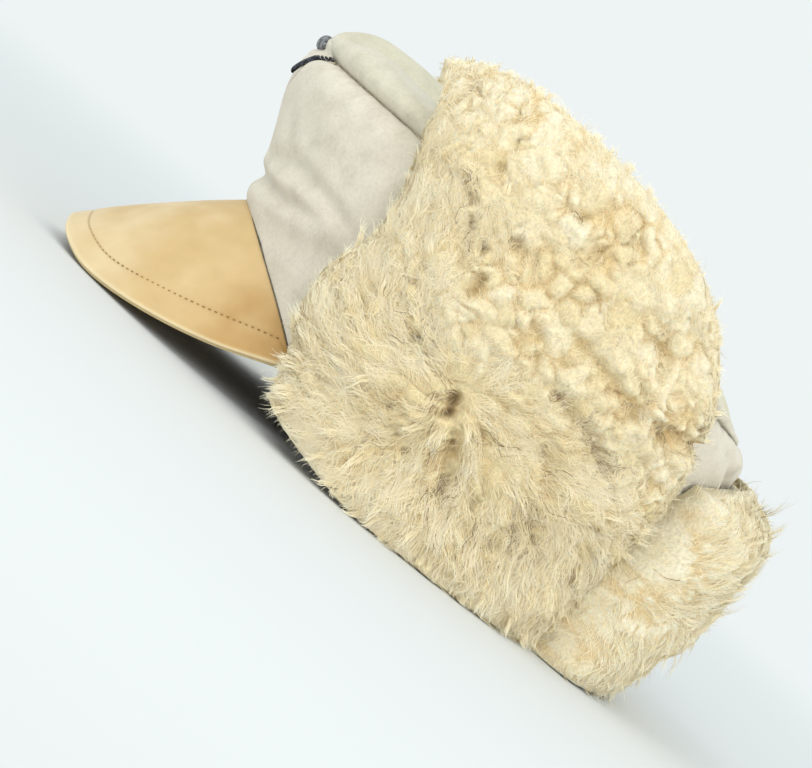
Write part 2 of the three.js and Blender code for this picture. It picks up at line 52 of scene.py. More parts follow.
MM = 0.001
Array = np.ndarray
Surface = Callable[[Array, Array], Array]
Tree = bpy.types.NodeTree
Socket = bpy.types.NodeSocket
Node = bpy.types.Node
Material = bpy.types.Material
Piece = bpy.types.Object

# The tables below stand in millimetres in the cap's own frame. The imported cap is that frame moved
# along Y, by as much as the front of its top panel shows.
CROWN_TOP_FRONT_Y = -127.608
ROW_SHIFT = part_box("crown_top_panel")[0].y / MM - CROWN_TOP_FRONT_Y

# Layers of the meshes that the finishes read. Hair whose tone is below the pit tone is painted brown, as
# the shadow in pits and partings.
WOOL_MAP = "OFBake"
FLEECE_LAYER = "fleece"
# the peak's layer: painted highlight along the edge, and the pressed groove
PEAK_LAYER = "edge_highlight_and_groove"
PIT_SHADOW_TONE = 0.12


# ---- Helpers for numbers and meshes


def to_row(points: Array) -> Array:
    """Moves points from the tables' frame, in mm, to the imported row's frame, in metres."""
    return (np.asarray(points, float) + [0.0, ROW_SHIFT, 0.0]) * MM


def unit(vectors: Array) -> Array:
    """Vectors at length 1."""
    return vectors / np.maximum(np.linalg.norm(vectors, axis=-1, keepdims=True), 1e-9)


def smooth_step(low: float, high: float, at: Array) -> Array:
    """Rises smoothly from 0 at low to 1 at high."""
    t = np.clip((at - low) / (high - low), 0.0, 1.0)
    return t * t * (3.0 - 2.0 * t)


def bell(at: Array, width: float, middle: float = 0.0) -> Array:
    """A soft bump of height 1 round a middle, down to a third at a width from it."""
    return np.exp(-(((at - middle) / width) ** 2))


def graded(count: int, share: float = 1.0) -> Array:
    """Steps from 0 to 1, closer together at both ends by a share, and even for the rest."""
    even = np.linspace(0, 1, count)
    return share * (0.5 - 0.5 * np.cos(np.pi * even)) + (1 - share) * even


class Curve:
    """Smooth curve through the stops of a short table.

    Args:
        stops: Pairs of place and value, in rising order of place.
    """

    def __init__(self, stops: Sequence[tuple[float, float]]) -> None:
        """Keeps the stops and works out the slope at each."""
        table = np.array(stops, float)
        self.place, self.value = table[:, 0], table[:, 1]
        steps = np.diff(self.value) / np.diff(self.place)
        self.slope = np.empty_like(self.value)
        self.slope[0], self.slope[-1] = steps[0], steps[-1]
        self.slope[1:-1] = (self.value[2:] - self.value[:-2]) / (self.place[2:] - self.place[:-2])

    def __call__(self, at: Array) -> Array:
        """Value at each place, held past the ends."""
        at = np.clip(np.asarray(at, float), self.place[0], self.place[-1])
        low = np.clip(np.searchsorted(self.place, at, side="right") - 1, 0, len(self.place) - 2)
        span = self.place[low + 1] - self.place[low]
        t = (at - self.place[low]) / span
        held = self.value[low] * (2 * t**3 - 3 * t**2 + 1) + self.value[low + 1] * (3 * t**2 - 2 * t**3)
        lean = self.slope[low] * (t**3 - 2 * t**2 + t) + self.slope[low + 1] * (t**3 - t**2)
        return held + span * lean


def soft_noise(points: Array, size: float, seed: int) -> Array:
    """Smooth noise of about -1 to 1 at points, whose bumps are about size mm apart."""
    rng = np.random.default_rng(seed)
    total = np.zeros(points.shape[:-1])
    for _ in range(7):
        heading = unit(rng.normal(size=3))
        pitch = size * rng.uniform(1.3, 2.9)
        total += np.sin(points @ heading * (2 * math.pi / pitch) + rng.uniform(0, 2 * math.pi))
    return total / 3.0


def nearest_on(path: Array, place: Array) -> tuple[Array, Array]:
    """Finds the nearest point of a path to each place in its plane.

    Args:
        path: Its corners; a single one is a path too.
        place: The places.

    Returns:
        The distance to that point, and how far along the path it lies, from 0 to 1.
    """
    spans = np.linalg.norm(np.diff(path, axis=0), axis=1)
    starts = np.concatenate([[0.0], np.cumsum(spans)])
    nearest = np.linalg.norm(place - path[0], axis=-1)
    along = np.zeros(nearest.shape)
    for k, span in enumerate(spans):
        heading = (path[k + 1] - path[k]) / span
        t = np.clip((place - path[k]) @ heading, 0, span)
        away = np.linalg.norm(place - path[k] - t[..., None] * heading, axis=-1)
        closer = away < nearest
        nearest = np.where(closer, away, nearest)
        along = np.where(closer, starts[k] + t, along)
    return nearest, along / max(starts[-1], 1e-9)


def normals_of(surface: Surface, u: Array, v: Array, step: float = 1e-3) -> Array:
    """Unit normals of a surface by small differences."""
    along_u = surface(u + step, v) - surface(u - step, v)
    along_v = surface(u, v + step) - surface(u, v - step)
    return unit(np.cross(along_u, along_v))


def grid_quads(rows: int, columns: int, start: int = 0, wrap: bool = False, flip: bool = False) -> Array:
    """Quads of a grid of points kept row by row.

    Args:
        rows: Rows of points.
        columns: Points in a row.
        start: Index of the first point.
        wrap: True where the last column meets the first.
        flip: True to turn the faces over.

    Returns:
        One row of four indices for each face.
    """
    i = np.arange(columns if wrap else columns - 1)
    j = np.arange(rows - 1)
    ii, jj = np.meshgrid(i, j)
    after = (ii + 1) % columns
    low, high = jj * columns, (jj + 1) * columns
    quads = np.stack([low + ii, low + after, high + after, high + ii], -1).reshape(-1, 4)
    return (quads[:, ::-1] if flip else quads) + start


def add_object(name: str, data: bpy.types.ID) -> Piece:
    """Puts a mesh, lamp or camera in the scene."""
    thing = bpy.data.objects.new(name, data)
    bpy.context.scene.collection.objects.link(thing)
    return thing


def mesh_piece(
    name: str,
    points: Array,
    faces: Sequence,
    finishes: Sequence[Material],
    worn: Array | None = None,
    uv: Array | None = None,
) -> Piece:
    """Makes a piece from points in the tables' frame.

    Args:
        name: The piece's name.
        points: Corners in mm.
        faces: Quads as an array, or a list of faces of any size.
        finishes: Materials, in order of slot.
        worn: Slot of each face, where there are several.
        uv: Place in the wool's own map of each face corner.

    Returns:
        The new object, at the origin.
    """
    mesh = bpy.data.meshes.new(name)
    if isinstance(faces, np.ndarray):
        mesh.vertices.add(len(points))
        mesh.vertices.foreach_set("co", to_row(points).astype(np.float32).ravel())
        mesh.loops.add(faces.size)
        mesh.loops.foreach_set("vertex_index", faces.astype(np.int32).ravel())
        mesh.polygons.add(len(faces))
        mesh.polygons.foreach_set("loop_start", np.arange(0, faces.size, 4, dtype=np.int32))
    else:
        mesh.from_pydata(to_row(points).tolist(), [], [list(map(int, f)) for f in faces])
    mesh.update(calc_edges=True)
    mesh.polygons.foreach_set("use_smooth", np.ones(len(mesh.polygons), bool))
    for finish in finishes:
        mesh.materials.append(finish)
    if worn is not None:
        mesh.polygons.foreach_set("material_index", worn.astype(np.int32))
    if uv is not None:
        layer = mesh.uv_layers.new(name=WOOL_MAP)
        layer.data.foreach_set("uv", uv.astype(np.float32).ravel())
    return add_object(name, mesh)


def sheet_piece(
    name: str,
    outer: Array,
    inner: Array,
    finishes: Sequence[Material],
    thin: int = 1,
) -> Piece:
    """Closed sheet between two grids of points; the last finish is for its inner face.

    Args:
        name: The piece's name.
        outer: Rows by columns of points on the outer face.
        inner: The same for the inner face, which shows little.
        finishes: The outer face's material, then the inner one's.
        thin: Keeps one point in this many of the inner face, each way.

    Returns:
        The new object.
    """
    rows, columns = outer.shape[:2]
    keep_rows = np.unique(np.append(np.arange(0, rows, thin), rows - 1))
    keep_columns = np.unique(np.append(np.arange(0, columns, thin), columns - 1))
    inner = inner[np.ix_(keep_rows, keep_columns)]
    layer = rows * columns
    points = np.concatenate([outer.reshape(-1, 3), inner.reshape(-1, 3)])
    fine = np.arange(layer).reshape(rows, columns)
    coarse = layer + np.arange(inner.shape[0] * inner.shape[1]).reshape(inner.shape[:2])
    faces = grid_quads(rows, columns).tolist()
    sides = (
        (fine[0], coarse[0], keep_columns, False),
        (fine[:, -1], coarse[:, -1], keep_rows, False),
        (fine[-1], coarse[-1], keep_columns, True),
        (fine[:, 0], coarse[:, 0], keep_rows, True),
    )
    for rim, far, kept, turned in sides:
        for k in range(len(kept) - 1):
            near = rim[kept[k] : kept[k + 1] + 1].tolist()
            face = [int(far[k]), int(far[k + 1]), *near[::-1]]
            faces.append(face[::-1] if turned else face)
    outside = len(faces)
    faces += grid_quads(*inner.shape[:2], layer, flip=True).tolist()
    worn = np.zeros(len(faces), int)
    worn[outside:] = len(finishes) - 1
    return mesh_piece(name, points, faces, finishes, worn)


def rim_points(path: Array, side: Array, out: Array, radius: Array | float, sides: int) -> Array:
    """Points round a thread, ring by ring along its path."""
    turn = np.linspace(0, 2 * math.pi, sides, endpoint=False)
    rim = np.cos(turn)[None, :, None] * side[:, None] + np.sin(turn)[None, :, None] * out[:, None]
    return (path[:, None] + radius * rim).reshape(-1, 3)


def tube_piece(
    name: str, path: Array, radius: float, finish: Material, closed: bool = False, sides: int = 8
) -> Piece:
    """Round thread along a path, with closed ends.

    Args:
        name: The piece's name.
        path: Points in mm.
        radius: The thread's radius in mm.
        finish: The thread's material.
        closed: True where the last point meets the first.
        sides: Points round the thread.

    Returns:
        The new object.
    """
    if closed:
        tangent = unit(np.roll(path, -1, 0) - np.roll(path, 1, 0))
    else:
        tangent = unit(np.gradient(path, axis=0))
    across = unit(np.cross(tangent, [0.13, 0.21, 0.97]))
    points = rim_points(path, across, np.cross(across, tangent), radius, sides)
    faces = grid_quads(len(path), sides, wrap=True).tolist()
    last = (len(path) - 1) * sides
    if closed:
        faces += [[last + k, last + (k + 1) % sides, (k + 1) % sides, k] for k in range(sides)]
    else:
        faces.append(list(range(sides))[::-1])
        faces.append([last + k for k in range(sides)])
    return mesh_piece(name, points, faces, [finish])


def stitched_piece(name: str, threads: Sequence[Array], sides: int, finish: Material) -> Piece:
    """Many short open threads as one piece.

    Args:
        name: The piece's name.
        threads: For each thread its points, from rim_points.
        sides: Points round a thread.
        finish: The threads' material.

    Returns:
        The new object.
    """
    faces = []
    first = 0
    for thread in threads:
        faces.append(grid_quads(len(thread) // sides, sides, first, wrap=True, flip=True))
        first += len(thread)
    return mesh_piece(name, np.concatenate(threads), np.concatenate(faces), [finish])


def paint(piece: Piece, layer: str, plain: Sequence[float], *parts: Array) -> None:
    """Fills a colour layer of a mesh, for its finish to read.

    Args:
        piece: The piece.
        layer: The layer's name.
        plain: The colour of points past those that parts tell of.
        parts: Red, green and so on of the first points.
    """
    colours = np.empty((len(piece.data.vertices), 4), np.float32)
    colours[:] = plain
    for channel, part in enumerate(parts):
        colours[: part.size, channel] = part.ravel()
    attribute = piece.data.attributes.new(layer, "FLOAT_COLOR", "POINT")
    attribute.data.foreach_set("color", colours.ravel())


def edit_all(piece: Piece, *edits: Callable[[], object]) -> None:
    """Runs edits on the whole of a piece's mesh, in edit mode."""
    bpy.ops.object.select_all(action="DESELECT")
    bpy.context.view_layer.objects.active = piece
    piece.select_set(True)
    bpy.ops.object.mode_set(mode="EDIT")
    bpy.ops.mesh.select_all(action="SELECT")
    for edit in edits:
        edit()
    bpy.ops.object.mode_set(mode="OBJECT")


# ---- Finishes


def linear(colour: str) -> tuple[float, float, float, float]:
    """An sRGB hex colour as linear RGBA."""
    parts = [int(colour[i : i + 2], 16) / 255 for i in (1, 3, 5)]
    return (*[p / 12.92 if p <= 0.04045 else ((p + 0.055) / 1.055) ** 2.4 for p in parts], 1.0)


def add_node(
    tree: Tree,
    kind: str,
    settings: dict | None = None,
    values: dict | None = None,
    links: dict | None = None,
) -> Node:
    """Adds a node to a tree.

    Args:
        tree: The material's node tree.
        kind: Blender's name for the node's type.
        settings: Properties of the node.
        values: Socket values, by name or number.
        links: Output sockets to link, by input name or number.

    Returns:
        The new node.
    """
    node = tree.nodes.new(kind)
    for key, value in (settings or {}).items():
        setattr(node, key, value)
    for key, value in (values or {}).items():
        node.inputs[key].default_value = value
    for key, socket in (links or {}).items():
        tree.links.new(socket, node.inputs[key])
    return node


def new_finish(name: str) -> tuple[Material, Tree, Node]:
    """A fresh material with one Principled shader; returns it, its tree and the shader."""
    material = bpy.data.materials.new(name)
    material.use_nodes = True
    tree = material.node_tree
    tree.nodes.clear()
    shader = add_node(tree, "ShaderNodeBsdfPrincipled")
    add_node(tree, "ShaderNodeOutputMaterial", links={"Surface": shader.outputs[0]})
    return material, tree, shader


def noise(tree: Tree, place: Socket, size_mm: float, detail: float = 2.0) -> Socket:
    """Noise whose features are about size_mm across, as a value of about 0.3 to 0.7."""
    values = {"Scale": 0.55 / (size_mm * MM), "Detail": detail, "Roughness": 0.55}
    return add_node(tree, "ShaderNodeTexNoise", values=values, links={"Vector": place}).outputs[0]


def mapped(
    tree: Tree,
    value: Socket,
    low: float,
    high: float,
    first: float = 0.0,
    last: float = 1.0,
    kind: str = "LINEAR",
) -> Socket:
    """Goes from first to last as a value goes from low to high."""
    node = add_node(
        tree,
        "ShaderNodeMapRange",
        {"interpolation_type": kind},
        {"From Min": low, "From Max": high, "To Min": first, "To Max": last},
        {"Value": value},
    )
    return node.outputs[0]


def scaled(tree: Tree, colour: Socket, share: Socket) -> Socket:
    """A colour made lighter or darker by a factor."""
    links = {0: colour, "Scale": share}
    return add_node(tree, "ShaderNodeVectorMath", {"operation": "SCALE"}, links=links).outputs[0]


def blend(
    tree: Tree, share: Socket, low: float, high: float, first: Socket | str, second: Socket | str
) -> Socket:
    """Goes from the first colour to the second as share goes from low to high."""
    factor = mapped(tree, share, low, high, kind="SMOOTHSTEP")
    node = add_node(tree, "ShaderNodeMix", {"data_type": "RGBA"}, links={0: factor})
    for number, colour in ((6, first), (7, second)):
        if isinstance(colour, str):
            node.inputs[number].default_value = linear(colour)
        else:
            tree.links.new(colour, node.inputs[number])
    return node.outputs[2]


def object_place(tree: Tree) -> Socket:
    """The place in the piece's own frame, in metres."""
    return add_node(tree, "ShaderNodeTexCoord").outputs["Object"]


def split(tree: Tree, vector: Socket) -> Sequence[Socket]:
    """The three parts of a vector or colour."""
    return add_node(tree, "ShaderNodeSeparateXYZ", links={0: vector}).outputs


def painted(tree: Tree, layer: str) -> Sequence[Socket]:
    """Red, green and blue of a mesh's colour layer."""
    return split(tree, add_node(tree, "ShaderNodeAttribute", {"attribute_name": layer}).outputs["Color"])


def set_shader(
    tree: Tree,
    shader: Node,
    colour: Socket,
    values: dict,
    height: Socket | None = None,
    bump: tuple[float, float] = (0.0, 0.0),
) -> None:
    """Gives a shader its colour, its plain values and a bump.

    Args:
        tree: The material's node tree.
        shader: Its Principled shader.
        colour: The base colour.
        values: Socket values, by name.
        height: What the bump follows, if there is one.
        bump: The bump's strength, and its height in mm.
    """
    tree.links.new(colour, shader.inputs["Base Color"])
    for key, value in values.items():
        shader.inputs[key].default_value = value
    if height is not None:
        strength, high_mm = bump
        settings = {"Strength": strength, "Distance": high_mm * MM}
        node = add_node(tree, "ShaderNodeBump", values=settings, links={"Height": height})
        tree.links.new(node.outputs[0], shader.inputs["Normal"])


@dataclass(frozen=True)
class Suede:
    """Split cowhide with a brushed nap: matt, chalky, mottled where the nap lies two ways.

    The right-half colour paints shade: it makes the hide a little darker and greener right of the middle,
    in full and not at all at the places of x named here; empty means none.
    """

    name: str = "brushed_suede"
    light: str = "#d2cbbb"
    mid: str = "#cbc3b3"
    dark: str = "#c0b8a7"
    cloud_mm: float = 26.0
    mottle_mm: float = 6.0
    nap_mm: float = 0.8
    right_half_shade: str = ""
    shade_full_mm: float = -36.0
    shade_gone_mm: float = 16.0

    def make(self) -> Material:
        """Builds the material."""
        material, tree, shader = new_finish(self.name)
        place = object_place(tree)
        clouds = noise(tree, place, self.cloud_mm)
        mottle = noise(tree, place, self.mottle_mm, 4.0)
        nap = noise(tree, place, self.nap_mm, 3.0)
        base = blend(tree, clouds, 0.35, 0.65, self.mid, self.light)
        base = blend(tree, mottle, 0.4, 0.8, base, self.dark)
        # painted shade: the right half of the hide, the lobe away from the light, darker and greener
        if self.right_half_shade:
            across = split(tree, place)[0]
            shade_tint = {1: linear(self.right_half_shade)[:3]}
            shade_tinted = add_node(tree, "ShaderNodeVectorMath", {"operation": "MULTIPLY"}, shade_tint, {0: base})
            full, gone = self.shade_full_mm * MM, self.shade_gone_mm * MM
            base = blend(tree, across, full, gone, shade_tinted.outputs[0], base)
        base = scaled(tree, base, mapped(tree, nap, 0.3, 0.7, 0.93, 1.05))
        values = {
            "Roughness": 0.95,
            "Specular IOR Level": 0.12,
            "Sheen Weight": 0.25,
            "Sheen Roughness": 0.6,
        }
        set_shader(tree, shader, base, values, nap, (0.35, 0.3))
        return material


@dataclass(frozen=True)
class PeakLeather:
    """Vegetable-tanned leather: warm, waxed, lighter towards the tip and darker towards the root, with
    faint clouds, pores and a soft shine.

    Its map layer holds a painted highlight along the rounded edge in red and the pressed groove in green.
    """

    name: str = "waxed_leather"
    tip_tone: str = "#d6c097"
    mid: str = "#c8ab78"
    dark: str = "#b58f55"
    edge_highlight: str = "#e6d5ac"
    pressed: str = "#8f7142"
    tip_y_m: float = -0.155
    root_y_m: float = -0.06
    uneven_m: float = 0.12
    cloud_mm: float = 17.0
    mottle_mm: float = 4.0
    pore_mm: float = 0.7

    def make(self) -> Material:
        """Builds the material."""
        material, tree, shader = new_finish(self.name)
        place = object_place(tree)
        clouds = noise(tree, place, self.cloud_mm)
        mottle = noise(tree, place, self.mottle_mm, 5.0)
        pores = noise(tree, place, self.pore_mm, 2.0)
        uneven = {1: self.uneven_m, 2: -0.5 * self.uneven_m}
        shift = add_node(tree, "ShaderNodeMath", {"operation": "MULTIPLY_ADD"}, uneven, {0: clouds})
        links = {0: split(tree, place)[1], 1: shift.outputs[0]}
        along = add_node(tree, "ShaderNodeMath", {"operation": "ADD"}, links=links).outputs[0]
        middle_y = 0.5 * (self.tip_y_m + self.root_y_m)
        base = blend(tree, along, self.tip_y_m, middle_y, self.tip_tone, self.mid)
        base = blend(tree, along, middle_y, self.root_y_m, base, self.dark)
        lit_edge, groove, _ = painted(tree, PEAK_LAYER)
        # painted highlight along the rounded edge
        base = blend(tree, lit_edge, 0.0, 1.3, base, self.edge_highlight)
        base = blend(tree, groove, 0.0, 1.0, base, self.pressed)
        base = scaled(tree, base, mapped(tree, mottle, 0.3, 0.7, 1.03, 0.96))
        tree.links.new(mapped(tree, mottle, 0.3, 0.7, 0.42, 0.55), shader.inputs["Roughness"])
        set_shader(tree, shader, base, {"Specular IOR Level": 0.4}, pores, (0.3, 0.2))
        return material


@dataclass(frozen=True)
class Wool:
    """Raw sheep's wool: greasy cream hair, painted brown in pits as their shadow, straw and tan where
    deep, pale at its tips.

    The map's u is the lock's tone and its v the way from root to tip.
    """

    name: str = "sheep_wool"
    lit_through_mm: float = 1.2
    pit_shadow: str = "#9a8465"
    deep: str = "#ecd7a8"
    straw: str = "#f2dfb2"
    peach: str = "#f9ebc6"
    cream: str = "#fdf6e0"

    def make(self) -> Material:
        """Builds the material."""
        material, tree, shader = new_finish(self.name)
        tone, reach, _ = split(tree, add_node(tree, "ShaderNodeUVMap", {"uv_map": WOOL_MAP}).outputs[0])
        middle = blend(tree, tone, 0.1, 0.9, self.straw, self.peach)
        tips = blend(tree, tone, 0.1, 0.8, self.peach, self.cream)
        colour = blend(tree, reach, 0.0, 0.4, self.deep, middle)
        colour = blend(tree, reach, 0.3, 1.0, colour, tips)
        # painted shadow: hair whose tone is below the pit tone turns brown
        colour = blend(tree, tone, 0.75 * PIT_SHADOW_TONE, 1.25 * PIT_SHADOW_TONE, self.pit_shadow, colour)
        values = {
            "Roughness": 0.8,
            "Specular IOR Level": 0.15,
            "Subsurface Weight": 0.3,
            "Subsurface Radius": (1.0, 1.0, 0.9),
            "Subsurface Scale": self.lit_through_mm * MM,
        }
        set_shader(tree, shader, colour, values)
        return material


@dataclass(frozen=True)
class Underwool:
    """The felted fleece under the locks: soft and lit through, with painted tan and pinkish shade in its
    crevices.
    """

    name: str = "felted_fleece"
    straw: str = "#d8c89f"
    cream: str = "#e4dcc3"
    crevice_shade: str = "#d6bf92"
    pit_shadow: str = "#836d50"
    fibre_mm: float = 0.7
    crimp_mm: float = 1.3
    depth_mm: float = 4.0

    def make(self) -> Material:
        """Builds the material."""
        material, tree, shader = new_finish(self.name)
        place = object_place(tree)
        tone, full, pit_shade = painted(tree, FLEECE_LAYER)
        crimp = noise(tree, place, self.crimp_mm, 5.0)
        fibre = noise(tree, place, self.fibre_mm, 3.0)
        base = blend(tree, tone, 0.1, 0.9, self.straw, self.cream)
        # painted shade: the felt turns tan where the fleece is least full, in its crevices
        base = blend(tree, full, 0.0, 0.7, self.crevice_shade, base)
        # painted shadow: the felt turns brown in pits and partings
        base = blend(tree, pit_shade, 0.2, 1.0, base, self.pit_shadow)
        base = scaled(tree, base, mapped(tree, fibre, 0.35, 0.65, 0.86, 1.08))
        values = {
            "Roughness": 0.9,
            "Specular IOR Level": 0.1,
            "Subsurface Weight": 0.5,
            "Subsurface Radius": (1.0, 0.7, 0.45),
            "Subsurface Scale": self.depth_mm * MM,
        }
        set_shader(tree, shader, base, values, crimp, (0.6, 0.6))
        return material


@dataclass(frozen=True)
class Thread:
    """Spun polyester thread: fine twist, a slight shine along the top."""

    name: str
    colour: str
    shade: str
    twist_mm: float = 0.8

    def make(self) -> Material:
        """Builds the material."""
        material, tree, shader = new_finish(self.name)
        twist = noise(tree, object_place(tree), self.twist_mm, 2.0)
        base = blend(tree, twist, 0.38, 0.62, self.shade, self.colour)
        set_shader(tree, shader, base, {"Roughness": 0.6, "Specular IOR Level": 0.3})
        return material


@dataclass(frozen=True)
class StudioFloor:
    """Pale seamless floor: painted card near the cap, lit as evenly as the backdrop further out."""

    name: str = "pale_card"
    colour: str = "#d9dcdd"
    backdrop: str = "#eef4f4"
    near_m: float = 0.35
    far_m: float = 0.9

    def make(self) -> Material:
        """Builds the material."""
        material, tree, shader = new_finish(self.name)
        links = {0: object_place(tree)}
        away = add_node(tree, "ShaderNodeVectorMath", {"operation": "LENGTH"}, links=links)
        share = mapped(tree, away.outputs["Value"], self.near_m, self.far_m, kind="SMOOTHSTEP")
        shader.inputs["Base Color"].default_value = linear(self.colour)
        shader.inputs["Roughness"].default_value = 0.9
        shader.inputs["Specular IOR Level"].default_value = 0.0
        light = {"Color": linear(self.backdrop), "Strength": 1.0}
        glow = add_node(tree, "ShaderNodeEmission", values=light)
        links = {0: share, 1: shader.outputs[0], 2: glow.outputs[0]}
        both = add_node(tree, "ShaderNodeMixShader", links=links)
        end = next(n for n in tree.nodes if n.type == "OUTPUT_MATERIAL")
        tree.links.new(both.outputs[0], end.inputs["Surface"])
        return material


# ---- The crown's form, shared by the pieces that stand on it


class CrownLevel(NamedTuple):
    """Outline of the padded wall at one height, in mm."""

    z: float
    front: float
    back: float
    side: float


@dataclass
class CrownForm:
    """Outer faces of the crown, with the part's sizes but for a deeper valley and tilted lobes."""

    levels: tuple[CrownLevel, ...] = (
        CrownLevel(26.5, -100, 98, 84),
        CrownLevel(45, -106, 104, 87),
        CrownLevel(65, -112.5, 109, 90),
        CrownLevel(86, -119.5, 115, 92.5),
        CrownLevel(104, -127.5, 117.5, 94),
        CrownLevel(117, -131, 115.5, 94),
        CrownLevel(125, -129.5, 112, 92),
        CrownLevel(129, -125, 109, 90),
    )
    wall: float = 4.0
    rim_z: float = 26.5
    seam_z: float = 129.0
    seam_gap: float = 0.35
    seam_drop_at_back: float = 11.0
    seam_dip_at_back: float = 5.0
    seam_dip_half_angle: float = 32.0
    root_centre_z: float = 62.6
    root_corner_z: float = 28.5
    root_half_angle: float = 55.2
    top_inset: tuple[float, ...] = (0, -2.6, -1.6, 5, 17, 30)
    top_lift: tuple[float, ...] = (0, 0.26, 0.56, 0.82, 0.98, 1)
    top_edge_reach: float = 0.55
    top_centre_z: float = 143.0
    top_centre_y: float = -8.0
    valley_depth: float = 13.0
    valley_half_width: float = 22.0
    middle_drop: float = 4.0
    back_tuck: float = 5.0
    lobe_tilt: float = 2.8
    lobe_half_width: float = 20.0

    def __post_init__(self) -> None:
        """Turns the tables into curves."""
        self.front = Curve([(level.z, level.front) for level in self.levels])
        self.back = Curve([(level.z, level.back) for level in self.levels])
        self.side = Curve([(level.z, level.side) for level in self.levels])
        stops = [self.top_edge_reach * i / (len(self.top_inset) - 1) for i in range(len(self.top_inset))]
        self.inset = Curve(list(zip(stops, self.top_inset)))
        self.lift = Curve(list(zip(stops, self.top_lift)))
        self.height = Curve([(0, 20), (50, 20.5), (110, 16), (150, 15), (180, 15)])
        self.gusset = Curve([(0.56, 0.6), (0.66, 4.5), (0.8, 10.5), (1.0, 17.0)])

    def ring(self, level: Array, angle: Array, z: Array, outset: Array | float = 0.0) -> Array:
        """Points of the outline at a level of the table, pushed out by an offset."""
        level, angle, z = np.broadcast_arrays(level, angle, z)
        front = self.front(level) - outset
        back = self.back(level) + outset
        side = self.side(level) + outset
        turn = np.radians(angle)
        y = (front + back) / 2 - (back - front) / 2 * np.cos(turn)
        return np.stack([side * np.sin(turn), y, z], -1)

    def lower_edge_z(self, angle: Array) -> Array:
        """Height of the wall's lower edge, which rises where the peak is sewn on."""
        share = np.abs(angle) / self.root_half_angle
        root = self.root_centre_z - (self.root_centre_z - self.root_corner_z) * share**2
        return np.maximum(self.rim_z, root)

    def seam_height(self, angle: Array) -> Array:
        """Height of the seam between walls and top."""
        back_share = (1 - np.cos(np.radians(angle))) / 2
        dip = self.seam_dip_at_back * bell(180 - np.abs(angle), self.seam_dip_half_angle)
        return self.seam_z - self.seam_drop_at_back * back_share**2 - dip

    def wall_point(self, angle: Array, share: Array) -> Array:
        """Outer face of the wall: share 0 at its lower edge, 1 at the seam."""
        low, high = self.lower_edge_z(angle), self.seam_height(angle)
        z = low + (high - low) * share
        return self.ring(z + (self.seam_z - high) * share, angle, z)

    def top_point(self, angle: Array, reach: Array) -> Array:
        """Outer face of the top panel: reach 0 at the seam, 1 in the middle."""
        angle, reach = np.broadcast_arrays(angle, reach)
        turned = np.abs(np.where(angle > 180, angle - 360, angle))
        seam = self.ring(np.full(angle.shape, self.seam_z), angle, self.seam_height(turned))
        height = self.height(turned)
        inward = np.stack([-seam[..., 0], self.top_centre_y - seam[..., 1], 0 * turned], -1)
        radius = np.linalg.norm(inward, axis=-1)
        t = (reach - self.top_edge_reach) / (1 - self.top_edge_reach)
        rolled = reach < self.top_edge_reach
        edge = self.top_inset[-1]
        inset = np.where(rolled, self.inset(reach), edge + (radius - edge) * t)
        inset = inset + self.back_tuck * smooth_step(135, 170, turned) * smooth_step(0, 0.15, reach)
        brow = seam[..., 2] + height
        flat = brow + (self.top_centre_z - brow) * t * t * (3 - 2 * t)
        point = seam + unit(inward) * inset[..., None]
        point[..., 2] = np.where(rolled, seam[..., 2] + height * self.lift(reach), flat)
        over = smooth_step(0.08, 0.45, reach)
        point[..., 2] -= self.valley_depth * over * bell(point[..., 0], self.valley_half_width)
        point[..., 2] -= self.middle_drop * over * smooth_step(-112, -80, point[..., 1])
        leaning = smooth_step(0.0, 0.25, reach) * np.tanh(point[..., 0] / self.lobe_half_width)
        point[..., 2] -= self.lobe_tilt * leaning
        point[..., 2] += self.seam_gap
        return point


class Crease(NamedTuple):
    """A fold in the suede: a path of angle and height, how deep it is and how wide, in mm."""

    path: tuple[tuple[float, float], ...]
    depth: float
    width: float


